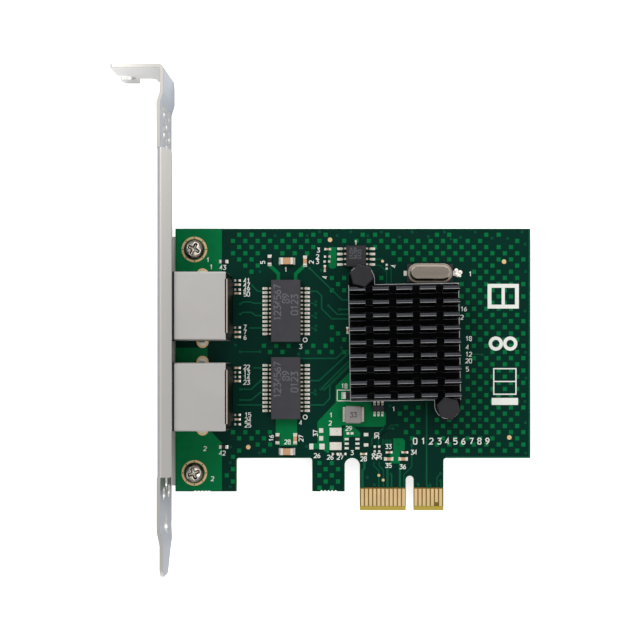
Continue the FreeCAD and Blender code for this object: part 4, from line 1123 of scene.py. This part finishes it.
@dataclass
class SolderWork:
    """Solder under the leads, at the ends of the chip parts and round the pins."""

    pad_rise: float = 0.17
    pad_length: float = 1.15
    pad_half: float = 0.3
    mound: float = 0.55  # height of a loose blob against its radius
    fillet_reach: float = 0.28
    fillet_share: float = 0.18  # further reach of a fillet against the height of its part
    fillet_climb: float = 0.75
    fillet_hollow: Point = (0.3, 0.4)
    fillet_side: float = 0.04
    joint_radius: float = 0.72
    joint_drop: float = 0.8
    joint_inset: float = 0.2
    first_row: float = -46.425
    first_row_joint: float = -46.6

    # Rows of leads, and how far their pads reach beyond them.
    LEAD_ROWS = (("transformer_1_leads", 0.45), ("transformer_2_leads", 0.45), ("memory_chip_leads", 0.65))
    # Leads with a pad all round, and its margins across and along.
    CLOSE_LEADS = (
        ("inductor_terminals", 0.1, 0.25), ("crystal_leads", 0.05, 0.25), ("switch_chip_leads", 0.06, 0.3),
    )
    # Hand-soldered blobs at the crystal's right lead: middle and radius.
    LOOSE_SOLDER = ((11.3, 58.2, 0.6), (11.5, 57.2, 0.6), (12.3, 57.8, 0.55), (12.1, 57.0, 0.45))

    def build(self, top: float, bottom: float) -> None:
        """Builds the pads, fillets and joints.

        Args:
            top: height of the component face, in millimetres.
            bottom: height of the solder face, in millimetres.
        """
        pads = Sketch()
        span = (top, top + self.pad_rise)
        for node, reach in self.LEAD_ROWS:
            low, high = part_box(node)
            middle = (low.x + high.x) / 2 / MM
            for start, end in solids(node):
                y = (start.y + end.y) / 2
                outer = end.x + reach if end.x > middle else start.x - reach
                inner = outer - self.pad_length if end.x > middle else outer + self.pad_length
                ends = (min(inner, outer), max(inner, outer))
                pads.plate(ends, (y - self.pad_half, y + self.pad_half), span)
        for node, across, along in self.CLOSE_LEADS:
            for start, end in solids(node):
                pads.plate((start.x - across, end.x + across), (start.y - along, end.y + along), span)
        for x, y, radius in self.LOOSE_SOLDER:
            pads.dome(x, y, radius, top, radius * self.mound)
        for kind in ("isolation", "capacitor", "resistor", "shunt"):
            bodies = [(low + high) / 2 for low, high in solids(f"{kind}_bodies")]
            for start, end in solids(f"{kind}_ends"):
                self.chip_joint(pads, start, end, bodies, top)
        pads.piece("solder_joints", SOLDER, "solder")
        self.pin_joints(bottom)

    def pin_joints(self, bottom: float) -> None:
        """Builds the joints round the jacks' pins on the solder face."""
        joints = Sketch()
        for number in (1, 2):
            for node in (f"jack_{number}_wires", f"jack_{number}_lamps"):
                for start, end in solids(node):
                    if start.z > bottom:
                        continue
                    in_first_row = abs(end.x - self.first_row) < self.joint_inset
                    first_wire = node.endswith("wires") and in_first_row
                    x = self.first_row_joint if first_wire else end.x - self.joint_inset
                    y = (start.y + end.y) / 2
                    joints.dome(x, y, self.joint_radius, bottom, -self.joint_drop)
        joints.piece("pin_joints", SOLDER, "solder", smooth=True)

    def chip_joint(
        self, sketch: Sketch, start: Vector, end: Vector, bodies: Iterable[Vector], top: float
    ) -> None:
        """Adds the pad and the sloping fillet at one end of a chip part.

        Args:
            sketch: the sketch that gets them.
            start: lowest corner of the end cap.
            end: highest corner of the end cap.
            bodies: middles of the parts of this kind.
            top: height of the board's face.
        """
        middle = (start + end) / 2
        away = middle - min(bodies, key=lambda body: (body - middle).length)
        main, side = (0, 1) if abs(away.x) > abs(away.y) else (1, 0)
        sign = 1 if away[main] > 0 else -1
        height = end.z * self.fillet_climb
        half = (end[side] - start[side]) / 2 + self.fillet_side
        face = end[main] if sign > 0 else start[main]
        reach = sign * (self.fillet_reach + end.z * self.fillet_share)
        bend = (face + self.fillet_hollow[0] * reach, height * self.fillet_hollow[1])
        profile = ((face, top), (face + reach, top), bend, (face, height))
        loops = []
        for across in (middle[side] - half, middle[side] + half):
            loops.append(sketch.corners(
                (along, across, level) if main == 0 else (across, along, level) for along, level in profile
            ))
        sketch.closed(loops)


@dataclass
class Screws:
    """Machine screws that hold the bracket, with domed heads and cross recesses."""

    head_radius: float = 2.4
    head_height: float = 1.95
    crown_drop: float = 1.25
    crown_power: float = 2.6
    crown_share: float = 0.97  # part of the head's radius that is domed
    arm_half: float = 0.22
    arm_fade: float = 0.2
    arm_length: float = 1.15
    length_fade: float = 0.45
    recess: float = 1.15
    recess_rise: float = 0.35
    rise_length: float = 1.6
    rim_level: float = 0.55
    seat: float = 0.02
    shank: float = 1.4
    point: float = 1.05
    taper: float = 0.4
    turns: Span = (0.35, 1.1)
    sides: int = 64
    rings: int = 22

    def build(self) -> None:
        """Builds both heads and hides the plain CAD ones."""
        sketch = Sketch()
        for (low, high), turn in zip(solids("bracket_screws"), self.turns):
            self.screw(sketch, (low + high) / 2, low.z, turn)
        piece = sketch.piece("pan_head_screws", SCREW_STEEL, "screw_steel", smooth=True)
        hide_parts("bracket_screws")

    def depth(self, radius: float, angle: float) -> float:
        """Height of the head's surface, with the cross recess pressed into it.

        Args:
            radius: distance from the axis.
            angle: angle about the axis, measured from one arm of the cross.

        Returns:
            The height above the board, in millimetres.
        """
        dome = self.head_height - self.crown_drop * (radius / self.head_radius) ** self.crown_power
        across, along = sorted((abs(math.cos(angle)) * radius, abs(math.sin(angle)) * radius))
        arm = max(0.0, 1.0 - max(0.0, across - self.arm_half) / self.arm_fade)
        reach = max(0.0, 1.0 - max(0.0, along - self.arm_length) / self.length_fade)
        floor = 1.0 - self.recess_rise * min(1.0, along / self.rise_length)
        return dome - self.recess * min(arm, reach) * floor

    def screw(self, sketch: Sketch, middle: Vector, tip: float, turn: float) -> None:
        """Adds one screw.

        Args:
            sketch: the sketch that gets it.
            middle: middle of the CAD screw.
            tip: height of the shank's end.
            turn: angle at which its cross stopped.
        """
        crown = [self.head_radius * self.crown_share * ring / self.rings for ring in range(1, self.rings + 1)]
        sides = (
            (self.head_radius, self.rim_level), (self.head_radius, self.seat), (self.shank, self.seat),
            (self.shank, tip + self.taper), (self.point, tip),
        )
        loops = []
        for radius, level in [(radius, None) for radius in crown] + list(sides):
            places = []
            for x, y in circle(middle.x, middle.y, radius, self.sides):
                angle = math.tau * len(places) / self.sides - turn
                places.append((x, y, self.depth(radius, angle) if level is None else level))
            loops.append(sketch.corners(places))
        sketch.fan(loops[0], (middle.x, middle.y, self.depth(0.0, 0.0)))
        sketch.skin(loops)
        sketch.mesh.faces.new(loops[-1][::-1])


@dataclass
class Springs:
    """Coil springs of round wire under the push-pin heads."""

    wire_radius: float = 0.22
    turns: float = 3.0
    steps: int = 72
    sides: int = 10
    closed_share: float = 0.12  # part of the wire that lies flat at each end

    def build(self) -> None:
        """Builds both springs and hides the plain CAD ones."""
        sketch = Sketch()
        for low, high in solids("push_pin_springs"):
            middle = (low + high) / 2
            coil = (high.y - low.y) / 2 - self.wire_radius
            rise = high.z - low.z - 2 * self.wire_radius
            loops = []
            for step in range(self.steps + 1):
                share = step / self.steps
                turn = math.tau * self.turns * share
                climb = min(1.0, max(0.0, (share - self.closed_share) / (1 - 2 * self.closed_share)))
                outward = Vector((math.cos(turn), math.sin(turn), 0))
                level = low.z + self.wire_radius + rise * climb
                centre = outward * coil + Vector((middle.x, middle.y, level))
                loops.append(sketch.corners(
                    centre + outward * across + Vector((0, 0, up))
                    for across, up in circle(0, 0, self.wire_radius, self.sides)
                ))
            sketch.closed(loops)
        piece = sketch.piece("round_wire_springs", SPRING_WIRE, "spring_steel", smooth=True)
        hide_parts("push_pin_springs")


@dataclass
class SinkEdges:
    """Lines on the heat sink: bare metal round the base plate's outline, a thin grey line at each fin's root,
    and a painted highlight along each fin's crest.
    """

    size: Point = (26.3, 28.0)
    turn_degrees: float = 1.0
    level: float = 4.2
    rise: float = 0.03
    crest_rise: float = 0.01
    fins: int = 9
    pitch: float = 3.17
    root: float = 1.9
    tip: float = 0.7
    root_inset: float = 0.08
    crest_inset: float = 0.14
    channels: tuple[float, ...] = (-8.325, -2.775, 2.775, 8.325)
    channel_width: float = 1.8
    outset: Point = (0.04, -0.06)
    ear_radius: float = 3.1
    ear_inset: float = 0.1
    ear_steps: int = 10
    line: float = 0.16
    root_line: float = 0.5  # widths of the fins' lines against the outline's
    crest_line: float = 0.55

    def place(self, x: float, y: float) -> Point:
        """Turns a point on the sink into a point on the card."""
        low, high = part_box("heat_sink")
        turn = math.radians(self.turn_degrees)
        middle = (low + high) / 2 / MM
        return (
            middle.x + x * math.cos(turn) - y * math.sin(turn),
            middle.y + x * math.sin(turn) + y * math.cos(turn),
        )

    def outline(self) -> list[Point]:
        """Corners of half the base plate's outline, from one ear to the other."""
        half_x, half_y = self.size[0] / 2 + self.outset[0], self.size[1] / 2 + self.outset[1]
        low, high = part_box("heat_sink")
        ear_end = (high.y - low.y) / MM / 2 - self.ear_inset
        ear_side = self.size[0] / 2 - 2 * self.ear_radius
        pin = (self.size[0] / 2 - self.ear_radius, -ear_end + self.ear_radius)
        points = [(-half_x, half_y), (-half_x, -half_y), (ear_side, -half_y), (ear_side, pin[1])]
        reach = self.ear_radius - self.ear_inset
        for step in range(1, self.ear_steps - 1):
            angle = math.pi + math.pi * step / self.ear_steps
            points.append((pin[0] + reach * math.cos(angle), pin[1] + reach * math.sin(angle)))
        return points

    def build(self) -> None:
        """Builds the lines."""
        edges = Sketch()
        span = (self.level, self.level + self.rise)
        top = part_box("heat_sink")[1].z / MM
        crest_span = (top, top + self.crest_rise)
        for sign in (1, -1):
            edges.ribbon([self.place(sign * x, sign * y) for x, y in self.outline()], self.line, span)
        roots = Sketch()
        half = self.size[0] / 2
        gaps = [(x - self.channel_width / 2, x + self.channel_width / 2) for x in self.channels]
        starts = [-half] + [gap[1] for gap in gaps]
        ends = [gap[0] for gap in gaps] + [half]
        for index in range(self.fins):
            y = (index - (self.fins - 1) / 2) * self.pitch - self.root / 2 - self.root_inset
            crest = y + self.root / 2 - self.tip / 2 + self.crest_inset
            for start, end in zip(starts, ends):
                roots.ribbon([self.place(start, y), self.place(end, y)], self.line * self.root_line, span)
                # painted highlight along the fin's crest
                points = [self.place(start, crest), self.place(end, crest)]
                edges.ribbon(points, self.line * self.crest_line, crest_span)
        edges.piece("bare_edges_and_crest_highlights", BARE_EDGE_AND_CREST_HIGHLIGHT, "black_anodised")
        roots.piece("fin_root_lines", FIN_ROOT_GREY, "black_anodised")


@dataclass
class ChipMarks:
    """Plain numbers burnt into the chips' tops and stamped on the inductor."""

    height: float = 1.55
    burn: float = 0.008
    stamp: float = 0.01
    stamp_inset: float = 0.8
    stamp_height: float = 1.1

    # Distances of each number from the low corner of its chip, and the number.
    ROWS = ((1.55, 5.2, "1234567"), (3.6, 9.4, "89"), (5.7, 6.6, "0123"))
    MEMORY_ROWS = ((1.2, 1.9, "01234"), (2.2, 1.9, "56789"), (3.2, 1.9, "0123"))
    MEMORY_HEIGHT = 0.7

    def build(self) -> None:
        """Builds the marks."""
        sketch = Sketch()
        for node, rows, height in (
            ("transformer_1_body", self.ROWS, self.height), ("transformer_2_body", self.ROWS, self.height),
            ("memory_chip_body", self.MEMORY_ROWS, self.MEMORY_HEIGHT),
        ):
            low, high = (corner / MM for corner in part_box(node))
            for across, along, text in rows:
                mark = Legend(low.x + across, low.y + along, text, Reading.UP, height)
                mark.draw(sketch, (high.z, high.z + self.burn))
        sketch.piece("laser_marks", LASER_MARK, "chip_epoxy")
        stamp = Sketch()
        low, high = (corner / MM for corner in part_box("inductor_core"))
        start = (low.x + high.x) / 2 - self.stamp_inset
        mark = Legend(start, (low.y + high.y) / 2, "33", Reading.ACROSS, self.stamp_height)
        mark.draw(stamp, (high.z, high.z + self.stamp))
        stamp.piece("inductor_mark", STAMPED_MARK, "inductor_powder")


@dataclass
class Dress:
    """Finishes and edge shading for the solids that come from the CAD model."""

    sharp_degrees: float = 28.0

    def shading(self) -> bpy.types.NodeTree:
        """Geometry nodes that weld split corners and shade shallow edges smooth.

        Returns:
            The node group.
        """
        group = bpy.data.node_groups.new("smooth_shallow_edges", "GeometryNodeTree")
        group.interface.new_socket("Geometry", in_out="INPUT", socket_type="NodeSocketGeometry")
        group.interface.new_socket("Geometry", in_out="OUTPUT", socket_type="NodeSocketGeometry")
        source = add_node(group, "NodeGroupInput").outputs[0]
        welded = add_node(group, "GeometryNodeMergeByDistance", None, {"Geometry": source, "Distance": 1e-7})
        plain = add_node(
            group, "GeometryNodeRemoveAttribute", None,
            {"Geometry": welded.outputs[0], "Name": "custom_normal"},
        )
        smooth = add_node(group, "GeometryNodeSetShadeSmooth", {"domain": "FACE"}, {0: plain.outputs[0]})
        angle = add_node(group, "GeometryNodeInputMeshEdgeAngle")
        shallow = add_node(
            group, "FunctionNodeCompare", {"data_type": "FLOAT", "operation": "LESS_EQUAL"},
            {0: angle.outputs["Unsigned Angle"], 1: math.radians(self.sharp_degrees)},
        )
        edges = add_node(
            group, "GeometryNodeSetShadeSmooth", {"domain": "EDGE"},
            {0: smooth.outputs[0], 2: shallow.outputs[0]},
        )
        add_node(group, "NodeGroupOutput", None, {0: edges.outputs[0]})
        return group

    def build(self) -> None:
        """Gives every CAD node its finish and shading."""
        finishes = dict(NODE_FINISHES)
        for number in (1, 2):
            for part, finish in JACK_FINISHES.items():
                finishes[f"jack_{number}_{part}"] = finish
        group = self.shading()
        for name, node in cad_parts.items():
            finish = finishes[name]
            node.data.materials.clear()
            node.data.materials.append(finish.material())
            node.modifiers.new("shading", "NODES").node_group = group
            LOG.info("%s: %s", name, finish.name)


@dataclass
class Studio:
    """White sweep, soft lamps and the camera straight above the card."""

    camera_place: Place = (-9.665, 35.3, 335.0)
    focal_length: float = 77.6
    sensor_width: float = 36.0
    shift: Point = (-0.078, 0.0703)
    clip: Span = (0.01, 10.0)  # metres
    floor_half: float = 3000.0
    glow: Point = (0.6, 0.12)  # glow of the floor that the camera adds, and the glow that reflections see
    lamp_target: Place = (-15.0, 40.0, 0.0)
    lamps: tuple[tuple[str, Place, float, float], ...] = (
        ("key_lamp", (-300.0, 380.0, 380.0), 260.0, 1.1),
        ("fill_lamp", (380.0, -160.0, 380.0), 300.0, 0.6),
        ("back_lamp", (120.0, 420.0, 360.0), 300.0, 0.6),
    )
    # Brightness of the surround at heights from the horizon to straight overhead.
    surround: tuple[Point, ...] = ((0.0, 0.3), (0.3, 0.32), (0.55, 0.72), (0.9, 0.72), (0.97, 0.34))

    def build(self) -> None:
        """Builds the floor, the light and the camera."""
        self.floor()
        self.lights()
        self.camera()

    def floor(self) -> None:
        """A matt white floor that shows as white but keeps the card's shadow."""
        mesh = bmesh.new()
        level = CAD_BOX[0].z
        half = self.floor_half * MM
        corners = ((-half, -half), (half, -half), (half, half), (-half, half))
        mesh.faces.new([mesh.verts.new((x, y, level)) for x, y in corners])
        data = bpy.data.meshes.new("floor")
        mesh.to_mesh(data)
        mesh.free()
        floor = bpy.data.objects.new("floor", data)
        bpy.context.scene.collection.objects.link(floor)
        material = bpy.data.materials.new("white_paper")
        material.use_nodes = True
        tree = material.node_tree
        tree.nodes.clear()
        paper = add_node(tree, "ShaderNodeBsdfDiffuse", None, {"Color": linear("#F4F4F4")})
        path = add_node(tree, "ShaderNodeLightPath")
        rays = path.outputs["Is Camera Ray"]
        strength = calculate(tree, "MULTIPLY_ADD", rays, *self.glow)
        glow = add_node(tree, "ShaderNodeEmission", None, {"Color": (1, 1, 1, 1), "Strength": strength})
        both = add_node(tree, "ShaderNodeAddShader", None, {0: paper.outputs[0], 1: glow.outputs[0]})
        for other in ("Is Glossy Ray", "Is Transmission Ray"):
            rays = calculate(tree, "MAXIMUM", rays, path.outputs[other])
        seen = add_node(tree, "ShaderNodeMixShader", None, {0: rays, 1: paper.outputs[0], 2: both.outputs[0]})
        add_node(tree, "ShaderNodeOutputMaterial", None, {0: seen.outputs[0]})
        floor.data.materials.append(material)

    def lights(self) -> None:
        """A pale surround, dim near the floor and straight overhead, and three soft lamps."""
        world = bpy.data.worlds.new("studio")
        bpy.context.scene.world = world
        world.use_nodes = True
        tree = world.node_tree
        way = add_node(tree, "ShaderNodeTexCoord").outputs["Generated"]
        shade = add_node(tree, "ShaderNodeValToRGB", None, {"Fac": parts_of(tree, way)["Z"]})
        ramp = shade.color_ramp
        for index, (height, level) in enumerate(self.surround):
            step = ramp.elements[index] if index < 2 else ramp.elements.new(height)
            step.position = height
            step.color = (level, level, level, 1.0)
        background = tree.nodes["Background"]
        background.inputs["Strength"].default_value = 1.0
        tree.links.new(shade.outputs["Color"], background.inputs["Color"])
        for name, place, size, power in self.lamps:
            data = bpy.data.lights.new(name, "AREA")
            data.shape = "SQUARE"
            data.size = size * MM
            data.energy = power
            lamp = bpy.data.objects.new(name, data)
            lamp.location = Vector(place) * MM
            way_down = Vector(self.lamp_target) * MM - lamp.location
            lamp.rotation_euler = way_down.to_track_quat("-Z", "Y").to_euler()
            bpy.context.scene.collection.objects.link(lamp)

    def camera(self) -> None:
        """The camera, square to the board."""
        data = bpy.data.cameras.new("camera")
        data.lens = self.focal_length
        data.sensor_width = self.sensor_width
        data.shift_x, data.shift_y = self.shift
        data.clip_start, data.clip_end = self.clip
        camera = bpy.data.objects.new("camera", data)
        camera.location = Vector(self.camera_place) * MM
        bpy.context.scene.collection.objects.link(camera)
        bpy.context.scene.camera = camera


def write_sizes() -> None:
    """Updates the view layer."""
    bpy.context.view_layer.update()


def main() -> None:
    """Builds the card's looks and the studio, in order."""
    logging.basicConfig(level=logging.INFO, format="%(message)s")
    bpy.context.scene.view_settings.view_transform = "Standard"
    Dress().build()
    board = Board()
    board.build()
    SolderWork().build(board.top(), board.bottom())
    Screws().build()
    Springs().build()
    SinkEdges().build()
    ChipMarks().build()
    Studio().build()
    write_sizes()


if __name__ == "__main__":
    main()
